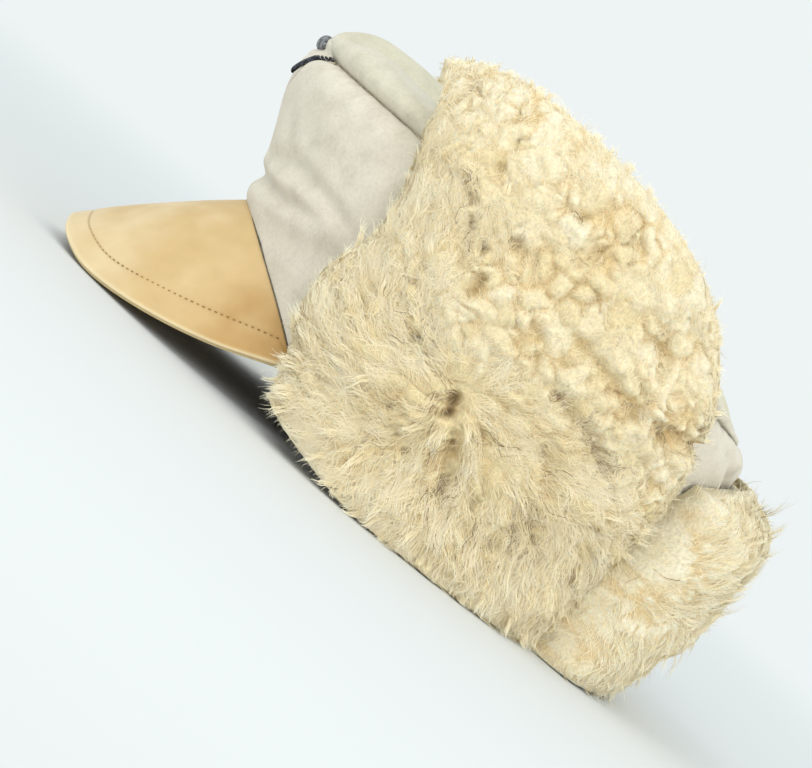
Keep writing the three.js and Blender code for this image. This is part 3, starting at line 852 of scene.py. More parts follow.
@dataclass
class Crown:
    """Four sewn suede panels: two sides, a front gusset and the puffed top."""

    form: CrownForm
    mm_per_degree: float = 1.66
    roll_depth: float = 0.8
    roll_width: float = 1.05
    pucker_depth: float = 0.35
    pucker_pitch: float = 8.5
    padding: float = 0.9
    back_bulge: float = 2.6
    half_gap: float = 0.18
    seam_depth: float = 0.6
    top_seam_depth: float = 1.0
    thread_radius: float = 0.25
    edge_radius: float = 0.95
    edge_behind: float = 0.85
    creases: tuple[Crease, ...] = (
        Crease(
            ((14, 83), (18, 84.6), (26, 86.7), (31, 87.8), (40, 86.7), (48, 84.3), (56, 81)), -2.1, 3.4
        ),
        Crease(
            ((-8, 73.6), (6, 73.6), (15, 73.6), (20, 73.4), (29, 73.4), (36, 75.6), (43, 77.5)), -2.5, 2.7
        ),
        Crease(((-14, 65), (8, 64.6), (24, 62.5)), 1.6, 4.6),
        Crease(((30, 60), (41, 63), (50, 70), (56, 72)), -0.9, 5.0),
        Crease(((14, 110), (19, 101), (23, 93), (24, 90)), -0.8, 4.5),
        Crease(((60, 120), (50, 112), (46, 98)), -0.8, 6.5),
        Crease(((28, 118), (36, 106), (44, 100)), 0.6, 6.0),
        Crease(((150, 112), (158, 106), (166, 92), (170, 78)), -2.2, 3.2),
        Crease(((172, 111), (168, 106), (160, 101)), -1.6, 2.4),
        Crease(((176, 74), (160, 66), (146, 64)), -1.4, 4.5),
        Crease(((84, 110), (98, 104), (112, 106)), -0.8, 6.0),
    )

    def crease_relief(self, angle: Array, z: Array) -> Array:
        """Height of all the creases at places on the wall."""
        place = np.stack([np.abs(angle) * self.mm_per_degree, z], -1)
        total = np.zeros(angle.shape)
        for crease in self.creases:
            nearest, share = nearest_on(np.array(crease.path) * [self.mm_per_degree, 1.0], place)
            fade = np.sin(np.pi * np.clip(0.08 + 0.84 * share, 0, 1)) ** 0.7
            shoulder = 0.35 * bell(nearest, crease.width, 2.1 * crease.width)
            total += crease.depth * fade * (bell(nearest, crease.width) - shoulder)
        return total

    def wall_relief(self, angle: Array, share: Array) -> Array:
        """How far the padded wall stands out from its plain form."""
        base = self.form.wall_point(angle, share)
        low, high = self.form.lower_edge_z(angle), self.form.seam_height(angle)
        below = high - base[..., 2]
        above = base[..., 2] - low
        front = np.abs(angle)
        gusset = np.where(share > 0.56, self.form.gusset(share), 0.0)
        from_gusset = np.abs(front - gusset) * self.mm_per_degree
        from_back = (180 - front) * self.mm_per_degree
        rolls = (
            0.95 * bell(below, self.roll_width)
            + 0.7 * bell(from_gusset, 1.2)
            + bell(from_back, self.roll_width)
            + 0.3 * bell(above, self.roll_width)
        )
        puff = self.padding * bell(below, 5.5, 7)
        turns = front * self.mm_per_degree / self.pucker_pitch
        pucker = np.cos(2 * np.pi * turns + 2.1 * soft_noise(base, 30, 3))
        pucker = self.pucker_depth * pucker * bell(below, 5.0, 3)
        sway = 0.75 * soft_noise(base, 34, 11) + 0.3 * soft_noise(base, 13, 12)
        calm = 1 - bell(np.minimum(below, above), 6)
        puff = puff + self.back_bulge * smooth_step(140, 168, front) * bell(base[..., 2], 8, 107)
        folds = self.crease_relief(angle, base[..., 2])
        return puff + pucker + sway * calm + folds - self.roll_depth * rolls

    def top_relief(self, angle: Array, reach: Array) -> Array:
        """How far the top panel stands out from its plain form."""
        base = self.form.top_point(angle, reach)
        roll = bell(reach, 0.022)
        pucker = np.cos(angle * 0.9 + 2.3 * soft_noise(base, 36, 5))
        pucker = 0.4 * pucker * bell(reach, 0.07, 0.08)
        sway = 0.9 * soft_noise(base, 40, 21) + 0.35 * soft_noise(base, 15, 22)
        return pucker + sway * smooth_step(0.05, 0.3, reach) - self.roll_depth * 0.9 * roll

    def wall_panel(
        self,
        name: str,
        place: Callable[[Array, Array], tuple[Array, Array]],
        u: Array,
        v: Array,
        side: int = 1,
    ) -> Piece:
        """A padded panel of the wall with its lining.

        Args:
            name: The piece's name.
            place: Angle and share on the wall for u and v.
            u: Grid of places across the panel.
            v: Grid of places up the panel.
            side: -1 where place runs the other way round.

        Returns:
            The new object.
        """

        def plain(u: Array, v: Array) -> Array:
            """The wall before its relief."""
            return self.form.wall_point(*place(u, v))

        normal = normals_of(plain, u, v) * side
        outer = plain(u, v) + normal * self.wall_relief(*place(u, v))[..., None]
        inner = plain(u, v) - normal * self.form.wall
        return sheet_piece(name, outer, inner, [SUEDE, LINING], thin=4)

    def side_panel(self, side: int, columns: int = 200, rows: int = 66) -> Piece:
        """One side, from the middle of the front round to the middle of the back."""

        def place(u: Array, v: Array) -> tuple[Array, Array]:
            """Angle and share on the wall, clear of the gusset and of the middle."""
            start = np.where(v > 0.56, self.form.gusset(v), 0.0) + self.half_gap
            return side * (start + (180 - self.half_gap - start) * u), v

        run = graded(columns, 0.35)
        u, v = np.meshgrid(run if side > 0 else run[::-1], graded(rows, 0.5))
        word = "left" if side > 0 else "right"
        piece = self.wall_panel(f"suede_side_{word}", place, u, v, side)
        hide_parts(f"crown_side_panel_{word}")
        return piece

    def front_gusset(self, columns: int = 44, rows: int = 50) -> Piece:
        """The small wedge under the badge."""
        low = 0.575

        def place(u: Array, v: Array) -> tuple[Array, Array]:
            """Angle and share on the wall, between the two sides."""
            share = low + (1 - low) * v
            return (2 * u - 1) * (self.form.gusset(share) - 2 * self.half_gap), share

        u, v = np.meshgrid(graded(columns, 0.0), graded(rows, 0.0))
        piece = self.wall_panel("suede_gusset", place, u, v)
        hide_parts("crown_front_gusset")
        return piece

    def top_panel(self, sides: int = 240, rings: int = 54) -> Piece:
        """The top: a puffed roll over the seam and two soft lobes."""
        reach = np.linspace(0, 1, rings + 1)[:-1] ** 1.15
        angle = np.linspace(0, 360, sides, endpoint=False)
        u, v = np.meshgrid(angle, reach)
        normal = normals_of(self.form.top_point, u, v)
        normal[-3:] = [0.0, 0.0, 1.0]
        base = self.form.top_point(u, v)
        calm = 1 - smooth_step(0.8, 1.0, v)
        outer = base + normal * (self.top_relief(u, v) * calm)[..., None]
        inner = base - normal * self.form.wall
        layer = rings * sides
        middle = self.form.top_point(np.array(0.0), np.array(1.0))
        points = np.concatenate(
            [outer.reshape(-1, 3), inner.reshape(-1, 3), [middle], [middle - [0, 0, self.form.wall]]]
        )
        faces = grid_quads(rings, sides, wrap=True).tolist()
        last = (rings - 1) * sides
        faces += [[last + i, last + (i + 1) % sides, 2 * layer] for i in range(sides)]
        faces += [[i + layer, (i + 1) % sides + layer, (i + 1) % sides, i] for i in range(sides)]
        outside = len(faces)
        faces += grid_quads(rings, sides, layer, wrap=True, flip=True).tolist()
        faces += [[layer + last + (i + 1) % sides, layer + last + i, 2 * layer + 1] for i in range(sides)]
        worn = np.zeros(len(faces), int)
        worn[outside:] = 1
        piece = mesh_piece("suede_top", points, faces, [SUEDE_TOP, LINING], worn)
        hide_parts("crown_top_panel")
        return piece

    def seam_lines(self) -> list[tuple[str, Array, bool]]:
        """Paths of the crown's seams: name, points, and whether the seam is a closed loop."""
        angle = np.linspace(0, 360, 361)[:-1]
        turned = np.where(angle > 180, angle - 360, angle)
        lines = [("top", self.form.wall_point(turned, np.full(angle.shape, 1.0)) + [0, 0, 0.17], True)]
        share = np.linspace(0.01, 0.57, 60)
        lines.append(("front", self.creased(np.zeros(60), share), False))
        share = np.linspace(0.01, 0.99, 90)
        lines.append(("back", self.creased(np.full(90, 180.0), share), False))
        share = np.linspace(0.57, 0.99, 60)
        for side, word in ((1, "left"), (-1, "right")):
            lines.append((f"gusset_{word}", self.creased(side * self.form.gusset(share), share), False))
        return lines

    def creased(self, angle: Array, share: Array) -> Array:
        """Places on the wall that follow its creases, for what is sewn to it."""
        base = self.form.wall_point(angle, share)
        relief = self.crease_relief(angle, base[..., 2])
        return base + normals_of(self.form.wall_point, angle, share) * relief[..., None]

    def seam_threads(self) -> list[Piece]:
        """Thread down in the seams, over the turned-in edges of the suede; both are coloured darker than
        the suede, as painted shade in the seams.
        """
        made = []
        for word, path, closed in self.seam_lines():
            middle = np.stack([0 * path[:, 0], 0 * path[:, 0] + self.form.top_centre_y, path[:, 2]], -1)
            inward = unit(middle - path)
            deep = self.top_seam_depth if word == "top" else self.seam_depth
            edge = path + inward * (deep + self.edge_behind)
            line = path + inward * deep
            made.append(tube_piece(f"seam_edge_{word}", edge, self.edge_radius, SHADED_SEAM_EDGE, closed))
            made.append(tube_piece(f"seam_thread_{word}", line, self.thread_radius, SEAM_THREAD_AND_SHADE, closed))
        return made

    def build(self) -> list[Piece]:
        """Makes all the crown's pieces and returns them."""
        panels = [self.side_panel(1), self.side_panel(-1), self.front_gusset(), self.top_panel()]
        threads = self.seam_threads()
        return panels + threads


# ---- Peak


@dataclass
class Peak:
    """Two plies of leather with a rolled edge and a row of stitches."""

    form: CrownForm
    half_width: float = 72.2
    corner_y: float = -56.4
    reach: float = 105.6
    root_outset: float = -0.6
    arch: float = 1.5
    upper_ply: float = 1.7
    under_ply: float = 1.5
    stitch_pitch: float = 2.7
    stitch_radius: float = 0.26
    pressed_run: float = 48.0
    groove: float = 0.3
    rim_per_u: float = 260.0

    def __post_init__(self) -> None:
        """Turns the tables of the edge's height, its fullness and the stitches' distance into curves."""
        self.edge_z = Curve([(-18, 5.6), (0, 10.4), (18, 5.6), (35, 1.9), (53, 4.8), (72, 13), (90, 26)])
        self.fullness = Curve([(-18, 3.8), (0, 2.4), (18, 3.8), (35, 2.8), (53, 1), (72, 0), (90, 0)])
        self.stitch_inset = Curve(
            [(0, 9.5), (18, 10), (35, 11.5), (53, 14.6), (72, 16), (82, 14), (90, 10)]
        )

    def turn(self, u: Array) -> Array:
        """Degrees round the edge: 0 at the tip, 90 at the corners."""
        return np.abs(2 * u - 1) * 90

    def point(self, u: Array, v: Array) -> Array:
        """Upper face: u from the right corner to the left, v from the edge to the root."""
        share = 2 * u - 1
        root_angle = share * self.form.root_half_angle
        root_z = self.form.lower_edge_z(root_angle)
        root = self.form.ring(root_z, root_angle, root_z, self.root_outset)
        turn = self.turn(u)
        edge = np.stack(
            [
                np.sign(share) * self.half_width * np.sin(np.radians(turn)),
                self.corner_y - self.reach * np.cos(np.radians(turn)) - self.fullness(turn),
                self.edge_z(turn),
            ],
            -1,
        )
        arch = self.arch * math.sqrt(0.5) * np.sin(np.pi * v) * (1 - share**2)
        return edge + (root - edge) * v[..., None] + np.stack([0 * arch, -arch, arch], -1)

    def rows_by_stitches(self, u: Array, fine: Array) -> Array:
        """Rows of v from edge to root, five of them close together along the line of stitches.

        Args:
            u: The columns.
            fine: Evenly graded rows from 0 to 1.

        Returns:
            v, with one row per line.
        """
        span = np.maximum(np.linalg.norm(self.point(u, 0 * u + 1) - self.point(u, 0 * u), axis=-1), 1e-6)
        sewn = np.clip(self.stitch_inset(self.turn(u)) / span, 0.05, 0.85)
        meets = fine[len(fine) // 4]
        below = fine[fine <= meets, None] / meets * sewn
        above = sewn + (fine[fine > meets, None] - meets) / (1 - meets) * (1 - sewn)
        beside = [sewn + np.clip(offset / span, -0.04, 0.04) for offset in (-1.4, -0.7, 0.7, 1.4)]
        return np.sort(np.concatenate([below, above, np.array(beside)]), axis=0)

    def ply(self, name: str, depth: float, thickness: float, finish: Material) -> Piece:
        """One ply with rounded edges; the upper one sags a little along its stitches."""
        on_top = depth == 0
        fine = graded(38 if on_top else 28)
        u, v = np.meshgrid(np.linspace(0.0006, 0.9994, 150), fine)
        if on_top:
            v = self.rows_by_stitches(u[0], fine)
            u = np.broadcast_to(u[0], v.shape)
        normal = normals_of(self.point, u, v)
        base = self.point(u, v)
        from_edge = np.linalg.norm(base - self.point(u, 0 * v), axis=-1)
        rim = np.minimum(from_edge, np.minimum(u, 1 - u) * self.rim_per_u)
        from_stitches = from_edge - self.stitch_inset(self.turn(u))
        groove = self.groove * bell(from_stitches, 0.9) if on_top else 0.0
        wave = 0.35 * soft_noise(base, 30, 31) * smooth_step(2, 14, rim)
        in_round = 1 - np.clip(rim / (thickness * 0.6), 0, 1)
        sunk = depth + thickness * 0.5 * (1 - np.sqrt(np.clip(1 - in_round**2, 0, 1)))
        outer = base + normal * (wave - groove - sunk)[..., None]
        low = depth + thickness - (sunk - depth)
        inner = base + normal * (wave * 0.6 - low)[..., None]
        piece = sheet_piece(name, outer, inner, [finish], thin=2 if on_top else 1)
        at_tip = 1 - smooth_step(0.3, 0.5, np.abs(2 * u - 1))
        pressed = bell(from_stitches, 0.6) * (0.12 + 0.45 * at_tip) if on_top else np.zeros(u.shape)
        # red: painted highlight along the rounded edge; green: the pressed groove
        paint(piece, PEAK_LAYER, [0.0, 0.0, 0.0, 1.0], bell(rim, 1.6), pressed)
        return piece

    def stitches(self) -> Piece:
        """The row of stitches, each a short thread that dips into the leather at both ends."""
        u = np.linspace(0.02, 0.98, 1200)
        edge = self.point(u, np.zeros_like(u))
        root = self.point(u, np.ones_like(u))
        depth = np.linalg.norm(root - edge, axis=-1)
        inset = self.stitch_inset(self.turn(u))
        v = np.clip(inset / np.maximum(depth, 1e-6), 0, 1)
        keep = depth > inset * 1.15
        line = self.point(u[keep], v[keep])
        normal = normals_of(self.point, u[keep], v[keep])
        run = np.concatenate([[0.0], np.cumsum(np.linalg.norm(np.diff(line, axis=0), axis=1))])
        sides, steps = 6, 6
        threads = []
        for k in range(int(run[-1] / self.stitch_pitch)):
            at = (k + np.linspace(0.26, 0.74, steps)) * self.stitch_pitch
            path = np.stack([np.interp(at, run, line[:, i]) for i in range(3)], -1)
            out = unit(np.stack([np.interp(at, run, normal[:, i]) for i in range(3)], -1))
            at_tip = np.exp(-(((at.mean() - run[-1] / 2) / self.pressed_run) ** 4))
            lift = -0.6 - 0.5 * at_tip + 0.6 * np.sin(np.pi * np.linspace(0, 1, steps))
            path = path + out * lift[:, None]
            across = np.cross(unit(np.gradient(path, axis=0)), out)
            threads.append(rim_points(path, across, out, self.stitch_radius, sides))
        piece = stitched_piece("peak_stitches", threads, sides, PEAK_THREAD)
        return piece

    def root_thread(self) -> Piece:
        """Thread in the seam between peak and crown, coloured dark as the painted shade of that seam."""
        angle = np.linspace(-self.form.root_half_angle, self.form.root_half_angle, 160)
        z = self.form.lower_edge_z(angle)
        path = self.form.ring(z, angle, z, -0.1)
        piece = tube_piece("seam_thread_peak", path, 0.34, ROOT_THREAD_AND_SHADE)
        return piece

    def build(self) -> list[Piece]:
        """Makes the peak's pieces and returns them."""
        upper = self.ply("peak_leather_upper", 0.0, self.upper_ply, LEATHER)
        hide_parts("peak_upper")
        under = self.ply("peak_leather_under", self.upper_ply + 0.1, self.under_ply, LEATHER_UNDER)
        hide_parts("peak_under")
        return [upper, under, self.stitches(), self.root_thread()]


# ---- Badge


@dataclass
class Badge:
    """A plain band of satin stitch, curved like the lower half of an oval, with a wound knot over it."""

    form: CrownForm
    half_angle: float = 15.0
    reach: float = 14.0
    width: float = 3.0
    stitch_radius: float = 0.6
    stitches: int = 118
    upper_end: float = -0.18
    end_rise: float = 3.3
    top_run: float = 45.0
    centre: tuple[float, float, float] = (0.0, -60.0, 112.0)
    field_rise: float = 1.0
    field_height: float = 2.9
    field_sink: float = 0.9
    field_floor: float = -1.4
    field_up: float = 7.0
    field_down: float = 11.0
    field_share: float = 0.8
    knot_place: tuple[float, float, float] = (0.0, -128.4, 131.6)
    knot_radius: float = 3.4
    knot_flat: float = 0.8
    knot_long: float = 2.3
    knot_turn: float = 81.0
    satin_slant: float = 0.02

    def place(self, angle: Array, along: Array, stand_off: Array) -> Array:
        """Place on the front of the crown, counted in mm up or down from the seam."""
        wall_height = self.form.seam_z - self.form.root_centre_z
        low = self.form.wall_point(angle, 1 + np.minimum(along, 0) / wall_height)
        high = self.form.top_point(angle, np.maximum(along, 0) / self.top_run)
        point = np.where((along < 0)[..., None], low, high)
        return point + unit(point - np.array(self.centre)) * np.asarray(stand_off)[..., None]

    def ring(self) -> Piece:
        """The satin band: short threads laid side by side; its ends sink under the top's fold."""
        steps, sides = 6, 5
        rng = np.random.default_rng(61)
        threads = []
        for k in range(self.stitches):
            turn = 2 * math.pi * k / self.stitches
            ragged = rng.uniform(-0.25, 0.25, 2)
            if math.sin(turn) > self.upper_end:
                continue
            across = np.linspace(-1 + 0.1 * ragged[0], 1 + 0.1 * ragged[1], steps)
            raised = 0.35 + 0.65 * abs(math.cos(turn)) ** 0.7
            grow = 1 + across * (0.5 + 0.5 * raised) * self.width / (2 * self.reach)
            sunk = min(max(0.0, 1 + 5 * (math.sin(turn) - self.upper_end)), 1.0)
            lift = 0.7 - 0.9 * sunk + 1.15 * raised * np.sqrt(np.clip(1 - across**2 * 0.94, 0, 1))
            skew = turn + self.satin_slant * across
            rise = np.sin(skew)
            along = self.reach * grow * rise + self.end_rise * (1 + rise)
            path = self.place(self.half_angle * grow * np.cos(skew), along, lift)
            out = unit(path - np.array(self.centre))
            side = unit(np.cross(unit(np.gradient(path, axis=0)), out))
            threads.append(rim_points(path, side, out, self.stitch_radius, sides))
        piece = stitched_piece("badge_ring", threads, sides, DARK)
        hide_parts("front_badge")
        return piece

    def field(self) -> Piece:
        """The puffed suede inside the ring, over the notch of the seam."""
        turns, rings = 48, 14
        round_ = np.linspace(0, 2 * math.pi, turns, endpoint=False)
        turn, out = np.meshgrid(round_, np.linspace(0, 1, rings))
        angle = self.half_angle * self.field_share * out * np.cos(turn)
        reach = np.where(np.sin(turn) > 0, self.field_up, self.field_down)
        along = self.field_rise + out * np.sin(turn) * reach
        dome = -self.field_sink + (self.field_height + self.field_sink) * np.cos(out * math.pi / 2) ** 1.3
        outer = self.place(angle, along, dome)
        inner = self.place(angle, along, self.field_floor + 0 * out)
        points = np.concatenate([outer.reshape(-1, 3), inner.reshape(-1, 3)])
        layer = turns * rings
        faces = grid_quads(rings, turns, wrap=True, flip=True).tolist()
        faces += grid_quads(rings, turns, layer, wrap=True).tolist()
        rim = (rings - 1) * turns
        for k in range(turns):
            here, after = rim + k, rim + (k + 1) % turns
            faces.append([here, layer + here, layer + after, after])
        piece = mesh_piece("badge_field", points, faces, [SUEDE])
        edit_all(
            piece,
            lambda: bpy.ops.mesh.remove_doubles(threshold=0.02 * MM),
            lambda: bpy.ops.mesh.normals_make_consistent(inside=False),
        )
        return piece

    def knot(self) -> Piece:
        """The wound knot: a flattened ball of thread laid on in turns."""
        bpy.ops.object.select_all(action="DESELECT")
        bpy.ops.mesh.primitive_uv_sphere_add(segments=32, ring_count=16, radius=self.knot_radius * MM)
        core = bpy.context.object
        core.name = "badge_knot"
        core.data.materials.append(GREY)
        edit_all(core, lambda: bpy.ops.transform.resize(value=(self.knot_long, 1.0, self.knot_flat)))
        place = Matrix.Translation(Vector(to_row(np.array(self.knot_place))))
        core.data.transform(place @ Matrix.Rotation(math.radians(self.knot_turn), 4, "X"))
        for face in core.data.polygons:
            face.use_smooth = True
        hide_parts("front_badge_knot")
        return core

    def knot_windings(self) -> Piece:
        """Turns of thread over the knot."""
        turns = 16
        t = np.linspace(0, 2 * math.pi * turns, 32 * turns)
        run = 0.92 * np.cos(t / (2 * turns))
        round_ = np.sqrt(1 - run**2)
        local = np.stack([run, round_ * np.cos(t), round_ * np.sin(t)], -1)
        local = local * (self.knot_radius + 0.1) * [self.knot_long, 1.0, self.knot_flat + 0.02]
        turn = np.array(Matrix.Rotation(math.radians(self.knot_turn), 3, "X"))
        path = local @ turn.T + np.array(self.knot_place)
        piece = tube_piece("badge_knot_windings", path, 0.34, GREY)
        return piece

    def build(self) -> list[Piece]:
        """Makes the badge's pieces and returns them."""
        return [self.ring(), self.field(), self.knot(), self.knot_windings()]


# ---- Sheepskin


class Comb(NamedTuple):
    """How the wool lies round one place of a flap.

    across is y on an ear flap and x on the neck flap, in mm; the flow is a direction in the same
    plane; crimp and stand go from 0, straight and flat, to 1; tone from 0, straw, to 1, cream.
    """

    across: float
    z: float
    flow_across: float
    flow_z: float
    length: float
    crimp: float
    stand: float
    tone: float


EAR_COMB = (
    Comb(-61, 46, -0.55, 0.80, 24, 0.25, 0.30, 0.80),
    Comb(-64, 30, -0.95, -0.10, 22, 0.25, 0.35, 0.90),
    Comb(-66, 87, -0.50, 0.87, 25, 0.25, 0.30, 0.75),
    Comb(-67, 121, -0.45, 0.90, 25, 0.25, 0.30, 0.75),
    Comb(-74, 150, -0.40, 0.92, 16, 0.60, 0.50, 0.80),
    Comb(-42, 77, -0.62, 0.78, 27, 0.30, 0.40, 0.65),
    Comb(-44, 100, -0.56, 0.83, 28, 0.25, 0.45, 0.90),
    Comb(-30, 22, -0.75, -0.60, 26, 0.25, 0.30, 0.70),
    Comb(-38, 34, -0.76, -0.45, 26, 0.25, 0.30, 0.75),
    Comb(-20, 50, -0.70, 0.10, 24, 0.35, 0.35, 0.55),
    Comb(-34, 115, -0.60, 0.80, 18, 0.55, 0.45, 0.35),
    Comb(-52, 136, -0.50, 0.87, 14, 0.80, 0.70, 0.35),
    Comb(-26, 141, -0.41, 0.95, 13, 0.90, 0.80, 0.45),
    Comb(-59, 166, -0.40, 0.92, 15, 0.70, 0.60, 0.85),
    Comb(-10, 168, 0.05, 1.00, 15, 0.70, 0.60, 0.75),
    Comb(-19, 96, -0.50, 0.87, 15, 0.80, 0.60, 0.45),
    Comb(18, 148, 0.17, 1.00, 13, 0.90, 0.75, 0.50),
    Comb(24, 118, 0.05, 0.95, 13, 0.95, 0.80, 0.40),
    Comb(55, 139, 0.57, 0.82, 15, 0.70, 0.65, 0.65),
    Comb(50, 116, 0.50, 0.87, 13, 0.85, 0.75, 0.50),
    Comb(76, 122, 0.80, 0.60, 17, 0.50, 0.55, 0.70),
    Comb(22, 93, 0.62, 0.66, 13, 0.80, 0.50, 0.40),
    Comb(58, 88, 0.77, 0.62, 13, 0.90, 0.60, 0.45),
    Comb(76, 92, 0.80, 0.60, 15, 0.80, 0.60, 0.55),
    Comb(20, 66, 0.92, 0.30, 20, 0.35, 0.35, 0.50),
    Comb(45, 62, 0.96, 0.20, 24, 0.25, 0.30, 0.60),
    Comb(83, 70, 0.90, 0.42, 27, 0.25, 0.35, 0.60),
    Comb(2, 26, -0.30, -0.95, 28, 0.20, 0.30, 0.75),
    Comb(8, 42, 0.10, -0.95, 24, 0.30, 0.35, 0.60),
    Comb(43, 18, 0.20, -0.97, 30, 0.20, 0.30, 0.80),
    Comb(45, 38, 0.35, -0.93, 26, 0.25, 0.35, 0.60),
    Comb(81, 14, 0.45, -0.88, 30, 0.20, 0.30, 0.80),
    Comb(85, 40, 0.70, -0.70, 27, 0.20, 0.35, 0.70),
)

NECK_HALF = (
    Comb(0, 95, 0.0, 1.0, 26, 0.22, 0.75, 0.95),
    Comb(60, 90, -0.45, 0.89, 26, 0.20, 0.65, 0.95),
    Comb(0, 60, 0.0, 0.9, 27, 0.22, 0.75, 0.90),
    Comb(60, 58, -0.95, 0.30, 28, 0.18, 0.60, 0.86),
    Comb(0, 30, 0.0, -0.7, 28, 0.18, 0.70, 0.90),
    Comb(60, 28, -0.45, -0.9, 28, 0.16, 0.55, 0.92),
    Comb(0, 6, 0.0, -1.0, 24, 0.18, 0.55, 0.90),
    Comb(60, 6, -0.2, -0.97, 24, 0.18, 0.45, 0.90),
)

NECK_COMB = tuple(
    comb._replace(across=way * comb.across, flow_across=way * comb.flow_across)
    for comb in NECK_HALF
    for way in ((1, -1) if comb.across else (1,))
)


class Hollow(NamedTuple):
    """A parting or pit in the wool.

    The path in the flap's plane, the depth and the half width are in mm; dark is how much painted brown
    shadow it gets.
    """

    path: tuple[tuple[float, float], ...]
    depth: float
    width: float
    dark: float = 0.0


# Small pits: place, depth, half width, and how much painted brown shadow each gets.
EAR_PITS = (
    ((5, 51), 4.0, 2.0, 0.5),
    ((12, 58), 5.0, 2.6, 0.3),
    ((-49, 45), 4.5, 2.4, 0.5),
    ((-24, 70), 4.5, 2.2, 0.6),
    ((-18, 68), 4.5, 2.2, 0.6),
    ((-16, 43), 5.0, 2.4, 0.5),
    ((-3, 33), 5.0, 2.4, 0.5),
    ((9, 46), 4.0, 2.2, 0.5),
    ((25, 34), 4.5, 2.4, 0.4),
    ((41, 36), 4.5, 2.6, 0.4),
    ((39, 26), 4.0, 2.6, 0.3),
    ((-41, 124), 4.5, 3.0, 0.15),
    ((-40, 140), 4.0, 2.6, 0.2),
    ((-8, 145), 4.0, 2.6, 0.15),
    ((-21, 123), 5.0, 2.8, 0.35),
    ((61, 101), 4.0, 3.0, 0.35),
)

EAR_HOLLOWS = (
    Hollow(((18, 109), (32, 106), (47, 102)), 5.0, 3.0, 0.1),
    Hollow(((56, 103), (66, 104), (76, 106)), 7.0, 3.4, 0.3),
    Hollow(((-2, 62), (-1, 59), (0, 56)), 8.5, 2.5, 0.75),
    Hollow(((-36, 118), (-32, 110), (-30, 103)), 4.5, 3.2, 0.1),
    Hollow(((-22, 103), (-20, 96)), 5.0, 2.6, 0.3),
    Hollow(((98, 62), (97, 55)), 9.0, 5.0, 0.4),
    Hollow(((34, 66), (40, 57)), 4.0, 4.0, 0.1),
    Hollow(((8, 44), (14, 36), (15, 30)), 4.0, 2.8, 0.35),
    Hollow(((38, 46), (46, 42)), 5.0, 3.0, 0.3),
    Hollow(((2, 140), (0, 131)), 5.0, 3.0, 0.2),
    Hollow(((40, 128), (45, 122)), 5.0, 3.0, 0.25),
    Hollow(((22, 88), (40, 84), (52, 78)), 4.5, 3.0, 0.45),
) + tuple(Hollow((place,), depth, width, dark) for place, depth, width, dark in EAR_PITS)

# painted shade where the neck flap comes out from under the ear flap
NECK_HOLLOWS = (Hollow(((74, 66), (82, 54), (78, 42)), 4.0, 9.0, 0.55),)


def laid_flat(vectors: Array, normal: Array) -> Array:
    """Vectors without what they have of a normal."""
    return vectors - normal * np.sum(vectors * normal, -1, keepdims=True)


class Side(Enum):
    """Which flap of the cap."""

    LEFT = "left"
    RIGHT = "right"
    NECK = "neck"


class Clumps:
    """The fleece's clumps: small domes where it is crimped, long shingled locks where it is silky.

    Args:
        centre: Places of the clumps on the skin, in mm.
        outward: The skin's normals there.
        lie: Directions that the clumps are combed in.
        habits: Rows of length, crimp, stand and tone.
        spacing: How far apart they stand, in mm.
        rng: The fleece's random numbers.
    """

    def __init__(
        self,
        centre: Array,
        outward: Array,
        lie: Array,
        habits: Array,
        spacing: float,
        rng: np.random.Generator,
    ) -> None:
        """Draws each clump's own size, lift, tone and turn."""
        count = len(centre)
        self.centre, self.outward = centre, outward
        self.lie = unit(lie + rng.normal(0, 1, lie.shape) * (0.24 + 0.16 * habits[:, 1:2]))
        self.habits, self.crimp = habits, habits[:, 1]
        self.stretch = 1.9 - 0.85 * self.crimp
        self.radius = spacing * rng.uniform(0.55, 0.85, count)
        self.weight = rng.uniform(-0.16, 0.16, count) * spacing
        self.rise = (2.8 + 1.8 * self.crimp) * rng.uniform(0.65, 1.35, count)
        self.tone = rng.normal(0, 0.09, count)
        self.phase = rng.uniform(0, 2 * math.pi, count)

    def nearest(self, points: Array) -> tuple[Array, Array, Array, Array]:
        """Finds the clump of each point.

        Args:
            points: Places on the skin.

        Returns:
            The clump's number, the distance to it, how much further the next one is, and how far
            ahead of the clump's middle the place lies.
        """
        found = [self.nearest_few(part) for part in np.array_split(points, max(1, len(points) // 4000))]
        return tuple(np.concatenate(column) for column in zip(*found))

    def nearest_few(self, points: Array) -> tuple[Array, Array, Array, Array]:
        """The same for a few thousand points at a time."""
        rough = points + 1.5 * np.stack([soft_noise(points, 5.0, 70 + k) for k in range(3)], -1)
        delta = rough[:, None] - self.centre[None]
        ahead = np.sum(delta * self.lie, -1)
        off = np.sum(delta * self.outward, -1)
        across = np.maximum(np.sum(delta * delta, -1) - ahead**2 - off**2, 0.0)
        away = np.sqrt((ahead / self.stretch) ** 2 + across * self.stretch) + self.weight
        order = np.argpartition(away, 1, axis=1)[:, :2]
        two = np.take_along_axis(away, order, 1)
        swap = two[:, 0] > two[:, 1]
        order[swap] = order[swap][:, ::-1]
        two[swap] = two[swap][:, ::-1]
        chosen = order[:, 0]
        row = np.arange(len(points))
        return chosen, two[:, 0], two[:, 1] - two[:, 0], ahead[row, chosen]

    def height(self, points: Array) -> tuple[Array, Array, Array]:
        """Height of the fleece's clumps at places on the skin.

        Args:
            points: Places on the skin.

        Returns:
            Heights in mm, how full the fleece is there from 0 in a crevice to 1, and the clump.
        """
        chosen, away, gap, ahead = self.nearest(points)
        middle = np.clip(gap / np.maximum(2 * np.maximum(away, 0) + gap, 1e-6), 0, 1)
        open_ = 0.3 + 0.7 * smooth_step(-0.7, 0.8, soft_noise(points, 15, 77))
        full = 1 - open_ * (1 - middle) ** 2
        shingle = 1 + 0.45 * (1 - self.crimp[chosen]) * np.clip(ahead / self.radius[chosen], -1.6, 1.6)
        return self.rise[chosen] * full * shingle, full, chosen


